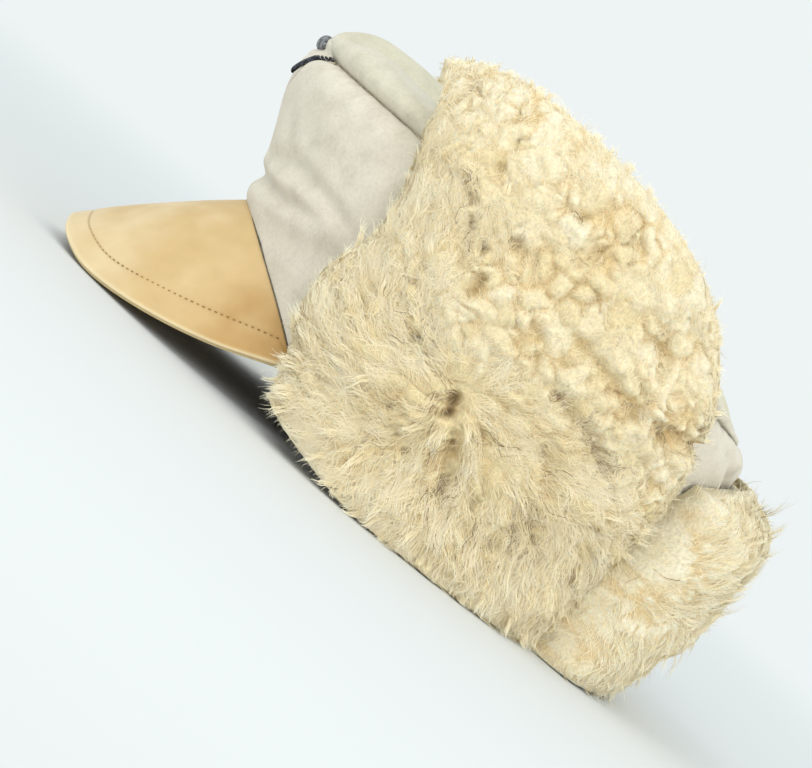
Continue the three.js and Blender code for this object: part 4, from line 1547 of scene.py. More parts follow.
class Places(NamedTuple):
    """Where hair stands: along and rise on the flap, and for each place the wool as it is there."""

    along: Array
    rise: Array
    on_rim: Array
    skin: Array
    outward: Array
    height: Array
    full: Array
    clump: Array
    # painted brown shadow of pits and partings, from 0 to 1
    pit_shade: Array
    lie: Array
    length: Array
    crimp: Array
    stand: Array
    tone: Array


class Strands(NamedTuple):
    """Hairs: centre lines, and for each hair its facing, soft shading normal, width and tone."""

    line: Array
    facing: Array
    soft: Array
    width: Array
    tone: Array


@dataclass
class Sheepskin:
    """A flap of sheepskin: skin, felted fleece in clumps, and locks and fuzz made hair by hair.

    Sizes are in mm. The edges are rows of rise, front angle and rear angle; the ends are rows of
    along, bottom and top height. Along runs from 0 in front to 1 behind, rise from 0 to 1 upwards.
    """

    form: CrownForm
    side: Side
    edges: tuple[tuple[float, float, float], ...]
    ends: tuple[tuple[float, float, float], ...]
    wool: float
    rim_wool: float
    underside_wool: float
    flare: float
    comb: tuple[Comb, ...]
    hollows: tuple[Hollow, ...]
    laid_locks: int
    locks: int
    hairs_in_lock: int
    fuzz: int
    hair_width: float
    seed: int
    fleece_grid: tuple[int, int]
    clearance: float = 3.0
    stand_z: float = 106.0
    lean: float = 0.14
    lean_z: float = 118.0
    skin: float = 2.0
    felt_share: float = 0.78
    clump_spacing: float = 8.4
    swell: float = 1.5
    lock_radius: float = 1.9
    lock_steps: int = 6
    fuzz_steps: int = 3
    lumps: float = 1.0
    # painted shade: how much darker the felt is under long, silky locks
    shade_under_locks: float = 0.45
    overhang: float = 3.5
    tuck: float = 6.0
    laid_in_crimp: float = 0.12
    fuzz_in_crimp: float = 2.2
    floor_clearance: float = 0.35
    floor_press: float = 2.5
    comb_reach: float = 15.0
    laid_wave: float = 15.0
    laid_crinkle: float = 4.2
    lock_wave: float = 6.5
    swell_size: float = 24.0
    cloud_sizes: tuple[float, float] = (6.5, 3.6)
    share: float = 1.0
    parts: int = 1

    def __post_init__(self) -> None:
        """Turns the tables into curves, seeds the wool and sets out its clumps."""
        self.front_edge = Curve([(rise, front) for rise, front, _ in self.edges])
        self.rear_edge = Curve([(rise, rear) for rise, _, rear in self.edges])
        self.bottom = Curve([(along, bottom) for along, bottom, _ in self.ends])
        self.top = Curve([(along, top) for along, _, top in self.ends])
        self.rng = np.random.default_rng(self.seed)
        self.flow = np.array([(c.flow_across, c.flow_z) for c in self.comb])
        self.flow /= np.linalg.norm(self.flow, axis=1, keepdims=True)
        self.spots = np.array([(c.across, c.z) for c in self.comb])
        self.habits = np.array([(c.length, c.crimp, c.stand, c.tone) for c in self.comb])
        self.clumps = self.set_out_clumps()

    def surface(self, along: Array, rise: Array, outset: Array | float = 0.0) -> Array:
        """Points of the flap on the left side, at a depth of wool."""
        front, rear = self.front_edge(rise), self.rear_edge(rise)
        bottom, top = self.bottom(along), self.top(along)
        z = bottom + (top - bottom) * rise
        lean = self.lean * np.maximum(0, z - self.lean_z)
        angle = front + (rear - front) * along
        return self.form.ring(np.minimum(z, self.stand_z), angle, z, self.clearance - lean + outset)

    def outward(self, along: Array, rise: Array) -> Array:
        """The way straight out of the skin."""
        return unit(self.surface(along, rise, 14.0) - self.surface(along, rise))

    def depth(self, along: Array, rise: Array) -> Array:
        """Depth of the wool before its clumps and hollows."""
        across = np.abs(2 * np.clip(along, 0, 1) - 1) ** 6
        up = np.abs(2 * np.clip(rise, 0, 1) - 1) ** 4
        kept = np.where(rise < 0.5, self.underside_wool, 0.0)
        full = np.sqrt(1 - across) * np.sqrt(1 - up * (1 - kept**2))
        return self.rim_wool + (self.wool - self.rim_wool + self.flare * (1 - rise)) * full

    def across_of(self, points: Array) -> Array:
        """The coordinate that the comb's table calls across."""
        return points[..., 0] if self.side is Side.NECK else points[..., 1]

    def hollow_depth(self, points: Array) -> tuple[Array, Array]:
        """How far the wool is parted at places, and how much painted brown shadow it gets there, from 0
        to 1.
        """
        total = np.zeros(points.shape[:-1])
        pit_shade = np.zeros(points.shape[:-1])
        ragged = 1 + 0.35 * soft_noise(points, 4.0, 55)
        place = np.stack([self.across_of(points), points[..., 2]], -1)
        for hollow in self.hollows:
            away, _ = nearest_on(np.array(hollow.path, float), place)
            near = bell(away * ragged, hollow.width)
            total += hollow.depth * near
            pit_shade = np.maximum(pit_shade, hollow.dark * near)
        return total, pit_shade

    def combed(self, points: Array, outward: Array) -> tuple[Array, Array]:
        """The way that the wool lies, and its habits.

        Args:
            points: Places on the skin.
            outward: The skin's normals there.

        Returns:
            Unit directions along the skin, and rows of length, crimp, stand and tone.
        """
        place = np.stack([self.across_of(points), points[..., 2]], -1)
        away = np.linalg.norm(place[:, None] - self.spots[None], axis=-1)
        weight = bell(away, self.comb_reach) + 1e-6 / (1 + away**2)
        weight /= weight.sum(1, keepdims=True)
        flow = unit(weight @ self.flow)
        across_axis = np.array([1.0, 0, 0]) if self.side is Side.NECK else np.array([0, 1.0, 0])
        lie = flow[:, :1] * across_axis + flow[:, 1:] * np.array([0, 0, 1.0])
        return unit(laid_flat(lie, outward)), weight @ self.habits

    def set_out_clumps(self) -> Clumps:
        """Scatters the clumps over the flap, a little past its border."""
        run = self.surface(np.linspace(0, 1, 60), np.full(60, 0.5), 10.0)
        width = float(np.linalg.norm(np.diff(run, axis=0), axis=1).sum())
        ends = np.linspace(0, 1, 9)
        height = float(np.mean(self.top(ends) - self.bottom(ends)))
        columns, rows = round(width / self.clump_spacing), round(height / self.clump_spacing)
        i, j = np.meshgrid(np.arange(-1, columns + 1), np.arange(-1, rows + 1))
        shift = self.rng.uniform(-0.45, 0.45, (2, *i.shape))
        along = ((i + 0.5 + 0.5 * (j % 2) - 0.25 + shift[0]) / columns).ravel()
        rise = ((j + 0.5 + shift[1]) / rows).ravel()
        centre = self.surface(along, rise)
        outward = self.outward(along, rise)
        lie, habits = self.combed(centre, outward)
        return Clumps(centre, outward, lie, habits, self.clump_spacing, self.rng)

    def fleece(self, along: Array, rise: Array) -> tuple[Array, Array, Array, Array]:
        """Height of the felted fleece, fullness, clump and painted brown shadow of pits, for flat arrays
        of places.
        """
        skin = self.surface(along, rise)
        lump, full, chosen = self.clumps.height(skin)
        inside = np.minimum(np.minimum(along, 1 - along), np.minimum(rise, 1 - rise))
        calm = 0.35 + 0.65 * smooth_step(0.0, 0.06, inside)
        swell = self.swell * soft_noise(skin, self.swell_size, self.seed + 1)
        deep = self.depth(along, rise) * self.felt_share + (self.lumps * (lump - 1.6) + swell) * calm
        crimped = smooth_step(0.45, 0.8, self.clumps.crimp[chosen])
        large, small = self.cloud_sizes
        cloud = np.abs(soft_noise(skin, large, self.seed + 3)) * 1.5
        cloud = cloud + np.abs(soft_noise(skin, small, self.seed + 4)) * 0.8
        deep = deep + (cloud - 0.9) * crimped * calm
        # the valleys between crimped clouds count as less full, which darkens them as painted crevice
        # shade
        full = full * (1 - 0.35 * crimped * bell(cloud, 0.55))
        hollow, pit_shade = self.hollow_depth(skin)
        # fullness falls in the hollows too, which gives them the painted crevice shade
        return np.maximum(deep - hollow, self.skin + 0.8), full * np.exp(-hollow / 6.0), chosen, pit_shade

    def turned(self, points: Array) -> Array:
        """Points of the left flap, mirrored where this is the right one."""
        return points * [-1.0, 1.0, 1.0] if self.side is Side.RIGHT else points

    def pelt(self) -> Piece:
        """Skin and felted fleece, as one closed padded piece; also keeps the fleece's normals."""
        rows, columns = self.fleece_grid
        u, v = np.meshgrid(np.linspace(0, 1, columns), np.linspace(0, 1, rows))
        felted = self.fleece(u.ravel(), v.ravel())
        deep, full, chosen, pit_shade = (part.reshape(rows, columns) for part in felted)
        fine = 0.2 * soft_noise(self.surface(u, v), 2.6, self.seed + 2)
        outer = self.lay_on_floor(self.surface(u, v, deep + fine))
        inner = self.surface(u, v, 0.2)
        inner[..., 2] = np.maximum(inner[..., 2], self.floor_clearance)
        down, right = np.gradient(outer, axis=0), np.gradient(outer, axis=1)
        self.normals = unit(np.cross(right, down))
        self.felt = outer.copy()
        tone = self.clumps.habits[chosen, 3] + self.clumps.tone[chosen]
        # painted shade: the felt is darker, towards straw, under silky locks, so the gaps between them
        # read as shadow
        tone = tone - self.shade_under_locks * (1 - smooth_step(0.35, 0.75, self.clumps.crimp[chosen]))
        outer, inner = self.turned(outer), self.turned(inner)
        if self.side is Side.RIGHT:
            parts = (outer, inner, tone, full, pit_shade)
            outer, inner, tone, full, pit_shade = (part[:, ::-1] for part in parts)
        piece = sheet_piece(f"pelt_{self.side.value}", outer, inner, [UNDERWOOL, SUEDE], thin=4)
        # blue of the layer: painted brown shadow in pits and partings
        paint(piece, FLEECE_LAYER, [0.5, 1.0, 0.0, 1.0], tone, full, pit_shade)
        node = "neck_flap" if self.side is Side.NECK else f"ear_flap_{self.side.value}"
        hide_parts(node)
        return piece

    def on_felt(self, grid: Array, along: Array, rise: Array) -> Array:
        """Reads a grid of the felted fleece between its points."""
        rows, columns = self.fleece_grid
        i = np.clip(along, 0, 1) * (columns - 1)
        j = np.clip(rise, 0, 1) * (rows - 1)
        left, low = np.minimum(i.astype(int), columns - 2), np.minimum(j.astype(int), rows - 2)
        across, up = (i - left)[..., None], (j - low)[..., None]
        below = grid[low, left] * (1 - across) + grid[low, left + 1] * across
        above = grid[low + 1, left] * (1 - across) + grid[low + 1, left + 1] * across
        return below * (1 - up) + above * up

    def scattered(self, count: int, on_rim: float, in_crimp: float) -> Places:
        """Random places for hair.

        Args:
            count: How many, at the full share.
            on_rim: Share of them that stands on the flap's border.
            in_crimp: How dense they are in crimped wool, against 1 in silky wool.

        Returns:
            The places; on_rim is 1 for each on the border, else 0.
        """
        count = int(count * self.share)
        draws = 4 * count
        along, rise = self.rng.uniform(0.005, 0.995, (2, draws))
        _, habits = self.combed(self.surface(along, rise), self.outward(along, rise))
        density = 1 + (in_crimp - 1) * smooth_step(0.55, 0.8, habits[:, 1])
        kept = np.flatnonzero(self.rng.uniform(0, 1, draws) * max(1.0, in_crimp) < density)[:count]
        along, rise, count = along[kept], rise[kept], len(kept)
        rim = self.rng.uniform(0, 1, count) < on_rim
        edge = self.rng.choice([0, 1, 2, 2, 2, 3], count)
        near = self.rng.uniform(0, 0.02, count)
        along = np.where(rim & (edge == 0), near, np.where(rim & (edge == 1), 1 - near, along))
        rise = np.where(rim & (edge == 2), near, np.where(rim & (edge == 3), 1 - near, rise))
        skin, outward = self.surface(along, rise), self.outward(along, rise)
        lie, habits = self.combed(skin, outward)
        felted = self.fleece(along, rise)
        return Places(along, rise, rim.astype(float), skin, outward, *felted, lie, *habits.T)

    def ways(self, along: Array, rise: Array, depth: float, step: float) -> tuple[Array, Array]:
        """How the surface at a depth moves on, to the rear and to the top, over two steps."""
        to_rear = self.surface(along + step, rise, depth) - self.surface(along - step, rise, depth)
        to_top = self.surface(along, rise + step, depth) - self.surface(along, rise - step, depth)
        return to_rear, to_top

    def off_border(self, along: Array, rise: Array) -> Array:
        """Direction straight off the flap's border, in its own surface."""
        to_rear, to_top = self.ways(along, rise, 10.0, 0.01)
        to_sides = np.where(along > 0.5, 1.0, -1.0) * np.exp(-np.minimum(along, 1 - along) / 0.03)
        to_ends = np.where(rise > 0.5, 1.0, -1.0) * np.exp(-np.minimum(rise, 1 - rise) / 0.03)
        return unit(unit(to_rear) * to_sides[:, None] + unit(to_top) * to_ends[:, None] + 1e-6)

    def laid_strands(self) -> Strands:
        """Locks that lie over the fleece: curled round its clumps, or long and wavy where silky."""
        hairs, steps, clumps = self.hairs_in_lock, self.lock_steps, self.clumps
        at = self.scattered(self.laid_locks, 0.0, self.laid_in_crimp)
        count, crimp, silky = len(at.along), at.crimp, (1 - at.crimp)[:, None, None]
        heading = 0.35 * at.lie + 0.65 * clumps.lie[at.clump]
        heading = heading + self.rng.normal(0, 1, at.lie.shape) * (0.12 + 0.45 * crimp**1.5)[:, None]
        step = 0.02
        to_rear, to_top = (way / (2 * step) for way in self.ways(at.along, at.rise, 15.0, step))
        wide, tall = np.linalg.norm(to_rear, axis=1), np.linalg.norm(to_top, axis=1)
        angle = np.arctan2(np.sum(heading * to_top, 1) / tall, np.sum(heading * to_rear, 1) / wide)
        t = np.linspace(0, 1, steps + 1)
        mid = 0.5 * (t[1:] + t[:-1])
        reach = (at.length * (1.0 - 0.25 * crimp))[:, None] * self.rng.uniform(0.6, 1.1, (count, hairs))
        phase = clumps.phase[at.clump][:, None] + self.rng.normal(0, 0.35, (count, hairs))
        sway = (0.4 + 0.5 * crimp)[:, None, None]
        bent = sway * np.sin(2 * math.pi * (reach / self.laid_wave)[..., None] * mid + phase[..., None])
        curl = self.rng.normal(0, 1, (count, 1)) * (0.15 + 1.5 * crimp**2)[:, None]
        curl = curl + self.rng.normal(0, 0.22, (count, hairs))
        turn = angle[:, None, None] + bent + curl[..., None] * mid
        fine = (0.45 * crimp + 0.24)[:, None, None]
        crinkle = 2 * math.pi * (reach / self.laid_crinkle)[..., None] * mid
        turn = turn + fine * np.sin(crinkle + 2 * phase[..., None])
        stride = (reach / steps)[..., None]
        none = np.zeros((count, hairs, 1))
        run_u = np.concatenate([none, np.cumsum(stride * np.cos(turn), -1)], -1)
        run_v = np.concatenate([none, np.cumsum(stride * np.sin(turn), -1)], -1)
        spread = self.lock_radius * (1.25 - 0.25 * crimp)[:, None]
        spread = spread * np.sqrt(self.rng.uniform(0, 1, (count, hairs)))
        round_ = self.rng.uniform(0, 2 * math.pi, (count, hairs))
        gather = 1 - (0.15 + 0.35 * silky) * t
        run_u = run_u + (spread * np.cos(round_))[..., None] * gather
        run_v = run_v + (spread * np.sin(round_))[..., None] * gather
        line, normal = self.over_felt(at, run_u, run_v, to_rear, to_top)
        loft = self.rng.uniform(0.1, 1.0, (count, hairs, 1)) * (0.6 + 0.4 * silky)
        lift = loft * np.sin(math.pi * np.clip(0.12 + 0.8 * t, 0, 1))
        tips = self.rng.normal(0, 0.35, (count, hairs, 1)) + 0.45 * silky - 0.3
        lift = lift + tips * t**2 - 0.15
        line = line + normal * lift[..., None]
        line = self.lay_on_floor(line.reshape(-1, steps + 1, 3))
        total = len(line)
        middle = normal[:, :, steps // 2].reshape(-1, 3)
        facing = unit(middle + self.rng.normal(0, 0.12, (total, 3)))
        soft = middle + 0.3 * np.repeat(at.outward, hairs, axis=0)
        soft = unit(soft + self.rng.normal(0, 0.08, (total, 3)))
        # painted shade: the hair is darker where the fleece is least full
        tone = at.tone + clumps.tone[at.clump] - 0.25 * (1 - at.full)
        tone = tone + self.rng.normal(0, 0.06, count)
        tones = np.repeat(tone, hairs) + self.rng.normal(0, 0.05, total)
        width = self.hair_width * self.rng.uniform(0.7, 1.2, total)
        return Strands(line, facing, soft, width, self.in_pits(tones, np.repeat(at.pit_shade, hairs)))

    def over_felt(
        self, at: Places, run_u: Array, run_v: Array, to_rear: Array, to_top: Array
    ) -> tuple[Array, Array]:
        """Lays hairs on the felted fleece; past its border they hang over a little and tuck under.

        Args:
            at: Where each lock starts.
            run_u: For each point of each hair, how far it has run to the rear, in mm.
            run_v: The same to the top.
            to_rear: For each lock, how far the surface runs in mm for one of along.
            to_top: The same for one of rise.

        Returns:
            The hairs' points, and the fleece's normals there.
        """
        wide = np.linalg.norm(to_rear, axis=1)[:, None, None]
        tall = np.linalg.norm(to_top, axis=1)[:, None, None]
        u = at.along[:, None, None] + run_u / wide
        v = at.rise[:, None, None] + run_v / tall
        held_u, held_v = np.clip(u, 0, 1), np.clip(v, 0, 1)
        over_u, over_v = (u - held_u) * wide, (v - held_v) * tall
        past_u = np.sign(over_u) * self.overhang * (1 - np.exp(-np.abs(over_u) / self.overhang))
        past_v = np.sign(over_v) * self.overhang * (1 - np.exp(-np.abs(over_v) / self.overhang))
        tucked = np.abs(over_u - past_u) + np.abs(over_v - past_v)
        tuck = self.tuck * (1 - np.exp(-tucked / self.tuck))
        line = self.on_felt(self.felt, held_u, held_v)
        line = line + past_u[..., None] * (to_rear[:, None, None] / wide[..., None])
        line = line + past_v[..., None] * (to_top[:, None, None] / tall[..., None])
        line = line - tuck[..., None] * at.outward[:, None, None]
        return line, unit(self.on_felt(self.normals, held_u, held_v))

    def lock_strands(self) -> Strands:
        """Locks of long hair: they arch over, and end in curls or in soft points."""
        at = self.scattered(self.locks, 0.4, self.laid_in_crimp)
        count, crimp, clumps = len(at.along), at.crimp, self.clumps
        depth = at.height - self.rng.uniform(0.4, 1.6, count)
        depth = np.where(at.on_rim > 0, depth * self.rng.uniform(0.1, 1.0, count), depth)
        root = self.surface(at.along, at.rise, np.maximum(depth, self.skin))
        bulge = laid_flat(at.skin - clumps.centre[at.clump], at.outward)
        bulge = bulge / clumps.radius[at.clump][:, None]
        lie = 0.45 * at.lie + 0.55 * clumps.lie[at.clump]
        lie = lie * (1 - 0.35 * crimp)[:, None] + bulge * (1.15 * crimp - 0.25 * (1 - crimp))[:, None]
        lie = lie + self.rng.normal(0, 1, lie.shape) * (0.08 + 0.2 * crimp)[:, None]
        lie = unit(laid_flat(lie, at.outward))
        lie = unit(lie + 0.9 * at.on_rim[:, None] * self.off_border(at.along, at.rise))
        # painted shade: the hair is darker where the fleece is least full
        tone = at.tone + clumps.tone[at.clump] - 0.22 * (1 - at.full) + self.rng.normal(0, 0.05, count)
        length = at.length * self.rng.uniform(0.75, 1.1, count) * (0.6 + 0.4 * at.full)
        length = length * (0.5 - 0.2 * at.on_rim)
        stand = np.clip(at.stand + self.rng.normal(0, 0.08, count), 0, 1)
        start = np.radians(74 - 40 * stand)
        finish = np.radians(98 + 50 * crimp**1.5 - 10 * stand)
        soft = unit(self.on_felt(self.normals, at.along, at.rise) + 0.35 * at.outward)
        phase = clumps.phase[at.clump] + self.rng.normal(0, 0.7, count)
        at = at._replace(lie=lie, length=length, tone=tone)
        return self.grow(at, root, soft, (start, finish), phase, self.hairs_in_lock, self.lock_steps)

    def fuzz_strands(self) -> Strands:
        """Short hairs by themselves, curled down over the clumps, that blur them."""
        at = self.scattered(self.fuzz, 0.16, self.fuzz_in_crimp)
        count, crimp = len(at.along), at.crimp
        depth = np.where(at.on_rim > 0, at.height * self.rng.uniform(0.1, 1.0, count), at.height - 0.4)
        root = self.surface(at.along, at.rise, np.maximum(depth, self.skin))
        normal = unit(self.on_felt(self.normals, at.along, at.rise))
        lie = 0.8 * at.lie + self.rng.normal(0, 1, at.lie.shape) * (0.35 + 0.6 * crimp)[:, None]
        lie = unit(laid_flat(lie, normal))
        lie = unit(lie + 0.8 * at.on_rim[:, None] * self.off_border(at.along, at.rise))
        length = self.rng.uniform(3.0, 7.5, count) * (1.2 - 0.45 * crimp)
        # painted shade: the hair is darker where the fleece is least full
        tone = at.tone + self.clumps.tone[at.clump] - 0.25 * (1 - at.full)
        tone = tone + self.rng.normal(0, 0.06, count)
        start = np.radians(self.rng.uniform(35, 75, count))
        finish = start + np.radians(self.rng.uniform(30, 80, count))
        phase = self.rng.uniform(0, 2 * math.pi, count)
        at = at._replace(outward=normal, lie=lie, length=length, tone=tone)
        return self.grow(at, root, normal, (start, finish), phase, 1, self.fuzz_steps)

    def in_pits(self, tones: Array, pit_shade: Array) -> Array:
        """Tones of hair kept clear of the brown end of the scale, but for some of the hair in pits,
        painted brown as their shadow.
        """
        plain = 1.5 * PIT_SHADOW_TONE + (0.99 - 1.5 * PIT_SHADOW_TONE) * tones.clip(0.0, 1.0)
        shadowed = self.rng.uniform(0, 1, len(tones)) < 1.1 * pit_shade
        return np.where(shadowed, self.rng.uniform(0.01, PIT_SHADOW_TONE, len(tones)), plain)

    def grow(
        self,
        at: Places,
        root: Array,
        soft: Array,
        lean: tuple[Array, Array],
        phase: Array,
        hairs: int,
        steps: int,
    ) -> Strands:
        """Grows hairs from roots.

        Args:
            at: The places, with the lie, length and tone that each lock has there.
            root: Where each lock stands.
            soft: The fleece's normal, which shades the hair softly.
            lean: Lean of the root and of the tip from outward, in radians.
            phase: Where each lock's wave begins.
            hairs: Hairs in a lock.
            steps: Pieces of a hair.

        Returns:
            The strands.
        """
        outward, lie, crimp = at.outward, at.lie, at.crimp
        count = len(root)
        side = np.cross(lie, outward)
        radius = self.lock_radius if hairs > 1 else 0.0
        disc = np.sqrt(self.rng.uniform(0, 1, (count, hairs))) * radius
        turn = self.rng.uniform(0, 2 * math.pi, (count, hairs))
        front = 0.7 * lie[:, None] + 0.4 * outward[:, None]
        offset = (disc * np.cos(turn))[..., None] * side[:, None]
        offset = offset + (disc * np.sin(turn))[..., None] * front
        stray = self.rng.uniform(0, 1, (count, hairs)) < 0.05
        reach = at.length[:, None] * self.rng.uniform(0.62, 1.05, (count, hairs))
        reach = reach * np.where(stray, 1.2, 1.0)
        bend = self.rng.normal(0, 1, (count, hairs, 3)) * np.where(stray, 0.24, 0.10)[..., None]
        t = np.linspace(0, 1, steps + 1)
        start, finish = lean
        bow = start[:, None] + (finish - start)[:, None] * t[None]
        middle = 0.5 * (bow[:, 1:] + bow[:, :-1])
        none = np.zeros((count, 1))
        run_lie = np.concatenate([none, np.cumsum(np.sin(middle), 1)], 1) / steps
        run_out = np.concatenate([none, np.cumsum(np.cos(middle), 1)], 1) / steps
        spine = run_lie[:, None, :, None] * lie[:, None, None]
        spine = spine + run_out[:, None, :, None] * outward[:, None, None]
        bent = bend[:, :, None] * (t**2)[None, None, :, None]
        line = root[:, None, None] + reach[..., None, None] * (spine + bent)
        gather = 1 - (0.15 + 0.35 * (1 - crimp))[:, None, None] * t[None, None]
        line = line + offset[:, :, None] * gather[..., None]
        start_wave = phase[:, None] + self.rng.normal(0, 0.5, (count, hairs))
        wave = 2 * math.pi * (reach / self.lock_wave)[..., None] * t + start_wave[..., None]
        size = (0.75 * crimp + 0.2)[:, None, None] * np.sqrt(t)[None, None]
        size = size * np.minimum(reach / 12, 1)[..., None]
        line = line + (size * np.sin(wave))[..., None] * side[:, None, None]
        line = line + (0.7 * size * np.cos(wave))[..., None] * outward[:, None, None]
        line = self.lay_on_floor(line.reshape(-1, steps + 1, 3))
        total = len(line)
        facing = np.repeat(outward, hairs, axis=0) + self.rng.normal(0, 0.2, (total, 3))
        shaded = unit(np.repeat(soft, hairs, axis=0) + self.rng.normal(0, 0.08, (total, 3)))
        width = self.hair_width * self.rng.uniform(0.7, 1.2, total) * (0.8 if hairs == 1 else 1.0)
        tones = np.repeat(at.tone, hairs) + self.rng.normal(0, 0.05, total)
        return Strands(line, facing, shaded, width, self.in_pits(tones, np.repeat(at.pit_shade, hairs)))

    def lay_on_floor(self, line: Array) -> Array:
        """Presses wool that would go under the floor flat on it."""
        z = line[..., 2]
        low, near = self.floor_clearance, self.floor_press
        pressed = low + near * np.exp(np.minimum(z - low - near, 0) / near)
        line[..., 2] = np.where(z < low + near, pressed, z)
        return line

    def ribbons(self, name: str, strands: Strands, parts: int = 1) -> list[Piece]:
        """Makes hairs as narrow tapered ribbons.

        Args:
            name: The pieces' name.
            strands: The hairs.
            parts: How many pieces, one above the other.

        Returns:
            The pieces.
        """
        line = strands.line
        steps = line.shape[1] - 1
        t = np.linspace(0, 1, steps + 1)
        tangent = unit(np.gradient(line, axis=1))
        across = unit(np.cross(tangent, strands.facing[:, None]))
        own = np.cross(across, tangent)
        agree = np.sum(own * strands.soft[:, None], -1, keepdims=True)
        shaded = self.turned(unit(own * np.maximum(0.3, 0.1 - agree) + strands.soft[:, None]))
        half = 0.5 * strands.width[:, None] * (0.75 + 0.5 * t - 1.05 * t**3)[None]
        aside = across * half[..., None]
        points = self.turned(np.stack([line - aside, line + aside], 2))
        order = np.argsort(line[:, 0, 2], kind="stable")
        made = []
        for number, chosen in enumerate(np.array_split(order, parts)):
            hairs = len(chosen)
            corners = points[chosen].reshape(-1, 3)
            start = (np.arange(hairs) * (steps + 1) * 2)[:, None] + (np.arange(steps) * 2)[None]
            quads = np.stack([start, start + 1, start + 3, start + 2], -1).reshape(-1, 4)
            if self.side is Side.RIGHT:
                quads = quads[:, ::-1]
            tone = np.repeat(strands.tone[chosen][:, None], steps, 1)
            low, high = np.broadcast_to(t[:-1], tone.shape), np.broadcast_to(t[1:], tone.shape)
            corner = [(-0.006, low), (0.006, low), (0.006, high), (-0.006, high)]
            uv = np.stack([np.stack([tone + shift, reach], -1) for shift, reach in corner], 2)
            own_name = f"{name}_{number + 1}" if parts > 1 else name
            piece = mesh_piece(own_name, corners, quads, [WOOL], uv=uv.reshape(-1, 2))
            soft = np.repeat(shaded[chosen].reshape(-1, 3), 2, axis=0)
            piece.data.normals_split_custom_set_from_vertices(soft.tolist())
            made.append(piece)
        return made

    def build(self) -> list[Piece]:
        """Makes the flap's pieces and returns them."""
        word = self.side.value
        made = [self.pelt()]
        made += self.ribbons(f"wool_{word}", self.laid_strands(), self.parts)
        made += self.ribbons(f"locks_{word}", self.lock_strands())
        made += self.ribbons(f"fuzz_{word}", self.fuzz_strands())
        return made


EAR_EDGES = ((0, 60, 144), (0.3, 55, 143.5), (0.6, 63, 138), (0.85, 57, 132), (1, 51, 128))
EAR_ENDS = ((0, 16, 159), (0.12, 11, 169), (0.32, 4, 173), (0.55, -3, 170), (0.75, -7, 162))
EAR_ENDS += ((0.9, -8, 148), (1, -7, 129))
NECK_EDGES = ((0, 142, 218), (0.6, 142.5, 217.5), (1, 147, 213))
NECK_ENDS = ((0, -8, 93), (0.25, -2, 99), (0.5, 2, 100), (0.75, -2, 99), (1, -8, 93))


# ---- Studio


@dataclass
class Studio:
    """Pale floor, soft light and the camera. A lamp is a name, place, side, power and colour."""

    target: tuple[float, float, float] = (0.0, -12.2, 45.0)
    towards_camera: tuple[float, float, float] = (0.9945, -0.0672, 0.0801)
    picture_right: tuple[float, float, float] = (0.0, 0.7660, 0.6428)
    distance_mm: float = 1400.0
    focal_px: float = 3360.0
    picture_width_px: int = 812
    sensor_mm: float = 36.0
    backdrop: str = "#eef4f4"
    floor_radius_m: float = 12.0
    aim: tuple[float, float, float] = (0.0, 0.0, 0.08)
    lamps: tuple[tuple, ...] = (
        ("key", (1.1, -1.5, 1.9), 1.6, 17.0, "#fffdf8"),
        ("fill", (2.1, 0.3, 0.55), 2.0, 22.0, "#fffdfa"),
        ("rear_fill", (1.2, 1.9, 0.8), 1.6, 10.0, "#fbfbf8"),
        ("low_fill", (0.9, -1.9, 0.4), 0.8, 4.0, "#fffdfa"),
    )

    def camera(self) -> None:
        """Places the camera at the photograph's angle."""
        data = bpy.data.cameras.new("camera")
        data.sensor_width = self.sensor_mm
        data.lens = self.focal_px / self.picture_width_px * self.sensor_mm
        data.clip_end = 100.0
        camera = add_object("camera", data)
        back = Vector(self.towards_camera).normalized()
        right = Vector(self.picture_right).normalized()
        up = back.cross(right).normalized()
        place = Vector(to_row(np.array(self.target))) + back * self.distance_mm * MM
        turn = Matrix((right, up, back)).transposed().to_4x4()
        camera.matrix_world = Matrix.Translation(place) @ turn
        bpy.context.scene.camera = camera

    def lamp(self, name: str, place: Sequence[float], size: float, power: float, colour: str) -> None:
        """Adds a square soft light that looks at the cap.

        Args:
            name: The lamp's name.
            place: Where it stands, in metres.
            size: Its side in metres.
            power: Its power in watts.
            colour: Its colour.
        """
        data = bpy.data.lights.new(name, "AREA")
        data.size = size
        data.energy = power
        data.color = linear(colour)[:3]
        lamp = add_object(name, data)
        lamp.location = place
        aim = Vector(self.aim) - Vector(place)
        lamp.rotation_mode = "QUATERNION"
        lamp.rotation_quaternion = aim.to_track_quat("-Z", "Y")

    def build(self) -> None:
        """Makes floor, lights, backdrop and camera."""
        bpy.ops.object.select_all(action="DESELECT")
        bpy.ops.mesh.primitive_circle_add(
            vertices=96, radius=self.floor_radius_m, fill_type="NGON", location=(0, 0, 0)
        )
        floor = bpy.context.object
        floor.name = "floor"
        floor.data.materials.append(StudioFloor().make())
        world = bpy.data.worlds.new("studio")
        world.use_nodes = True
        sky = world.node_tree.nodes["Background"]
        sky.inputs[0].default_value = linear(self.backdrop)
        sky.inputs[1].default_value = 1.0
        bpy.context.scene.world = world
        for lamp in self.lamps:
            self.lamp(*lamp)
        bpy.context.scene.view_settings.view_transform = "Standard"
        self.camera()


# ---- The finishes in use, and the cap put together

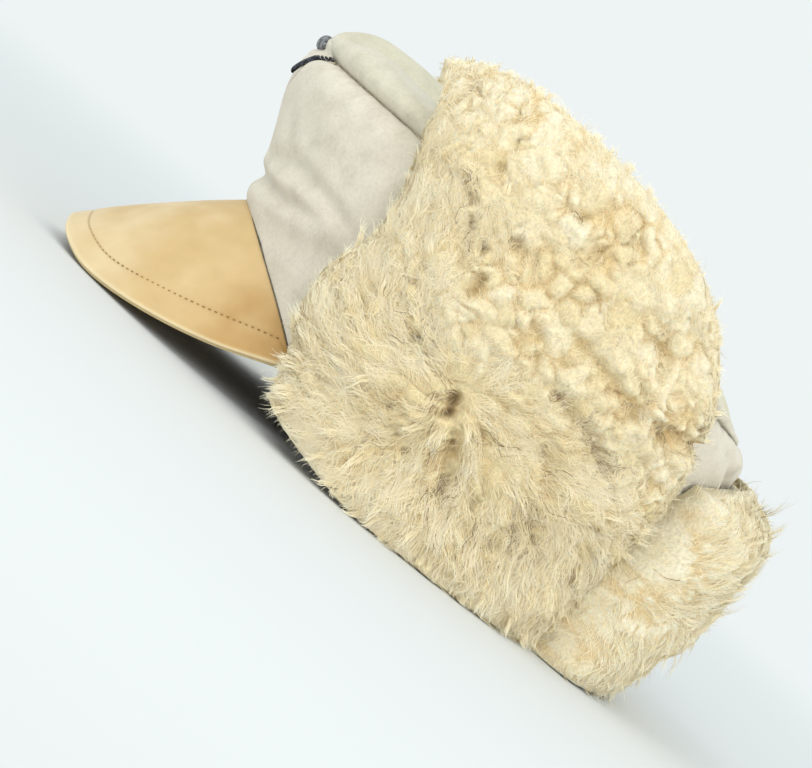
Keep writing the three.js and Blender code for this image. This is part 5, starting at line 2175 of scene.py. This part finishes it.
SUEDE = Suede().make()
# the top's right half gets painted shade
SUEDE_TOP = Suede("brushed_suede_top", "#cdc7b4", "#c6c0ac", "#bcb6a1", right_half_shade="#fcfdf7").make()
LINING = Suede("plain_lining", "#cfc6b2", "#c6bca6", "#b3a88f", 14.0, 3.0, 0.8).make()
LEATHER = PeakLeather().make()
# its fourth colour is the painted highlight along the under ply's edge
LEATHER_UNDER = PeakLeather("waxed_leather_under", "#d4bd8c", "#c8aa6f", "#b8965a", "#d9c595").make()
WOOL = Wool().make()
UNDERWOOL = Underwool().make()
DARK = Thread("dark_satin_thread", "#45464e", "#17181d", 1.1).make()
GREY = Thread("grey_thread", "#8c8e91", "#5f6165").make()
# thread sunk in the seams, coloured dark so that it also paints the shade line of the seam
SEAM_THREAD_AND_SHADE = Thread("seam_thread", "#9a907c", "#7d735f").make()
# a darker copy of the suede for the turned-in edges: painted shade in the seams
SHADED_SEAM_EDGE = Suede("turned_suede_edge_in_shade", "#c2b9a6", "#b6ad99", "#a59c87", 20.0, 4.0, 0.8).make()
PEAK_THREAD = Thread("peak_thread", "#b08c56", "#8f6e40").make()
# thread at the peak's root, coloured dark so that it also paints the shade line of the seam
ROOT_THREAD_AND_SHADE = Thread("peak_root_thread", "#6a6250", "#4d4638").make()


def main() -> None:
    """Builds the cap piece by piece and says what each is."""
    logging.basicConfig(level=logging.INFO, format="%(message)s")
    form = CrownForm()
    share = 1.0
    ear = dict(form=form, share=share, edges=EAR_EDGES, ends=EAR_ENDS, comb=EAR_COMB, hollows=EAR_HOLLOWS)
    ear |= dict(wool=26.0, rim_wool=8.0, underside_wool=0.72, flare=3.0)
    left = dict(laid_locks=1150, locks=380, hairs_in_lock=14, fuzz=14000, hair_width=0.27, seed=7)
    right = dict(laid_locks=620, locks=180, hairs_in_lock=12, fuzz=7000, hair_width=0.5, seed=8)
    neck = dict(laid_locks=480, locks=260, hairs_in_lock=13, fuzz=6500, hair_width=0.3, seed=9)
    neck |= dict(wool=38.0, rim_wool=12.0, underside_wool=0.6, flare=15.0)
    # the neck's felt gets little of that painted shade under its locks
    neck |= dict(felt_share=0.84, lumps=0.5, shade_under_locks=0.1, comb=NECK_COMB, hollows=NECK_HOLLOWS)
    neck |= dict(form=form, share=share, edges=NECK_EDGES, ends=NECK_ENDS)
    flaps = (
        Sheepskin(side=Side.LEFT, fleece_grid=(200, 170), parts=2, **left, **ear),
        Sheepskin(side=Side.RIGHT, fleece_grid=(150, 130), **right, **ear),
        Sheepskin(side=Side.NECK, fleece_grid=(90, 130), **neck),
    )
    pieces = Crown(form).build() + Peak(form).build() + Badge(form).build()
    for flap in flaps:
        pieces += flap.build()
    total = 0
    for piece in pieces:
        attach(piece, "root")
        triangles = len(piece.data.loops) - 2 * len(piece.data.polygons)
        total += triangles
        LOG.info("%s: %d triangles", piece.name, triangles)
    LOG.info("in all: %d triangles", total)
    Studio().build()


if __name__ == "__main__":
    main()
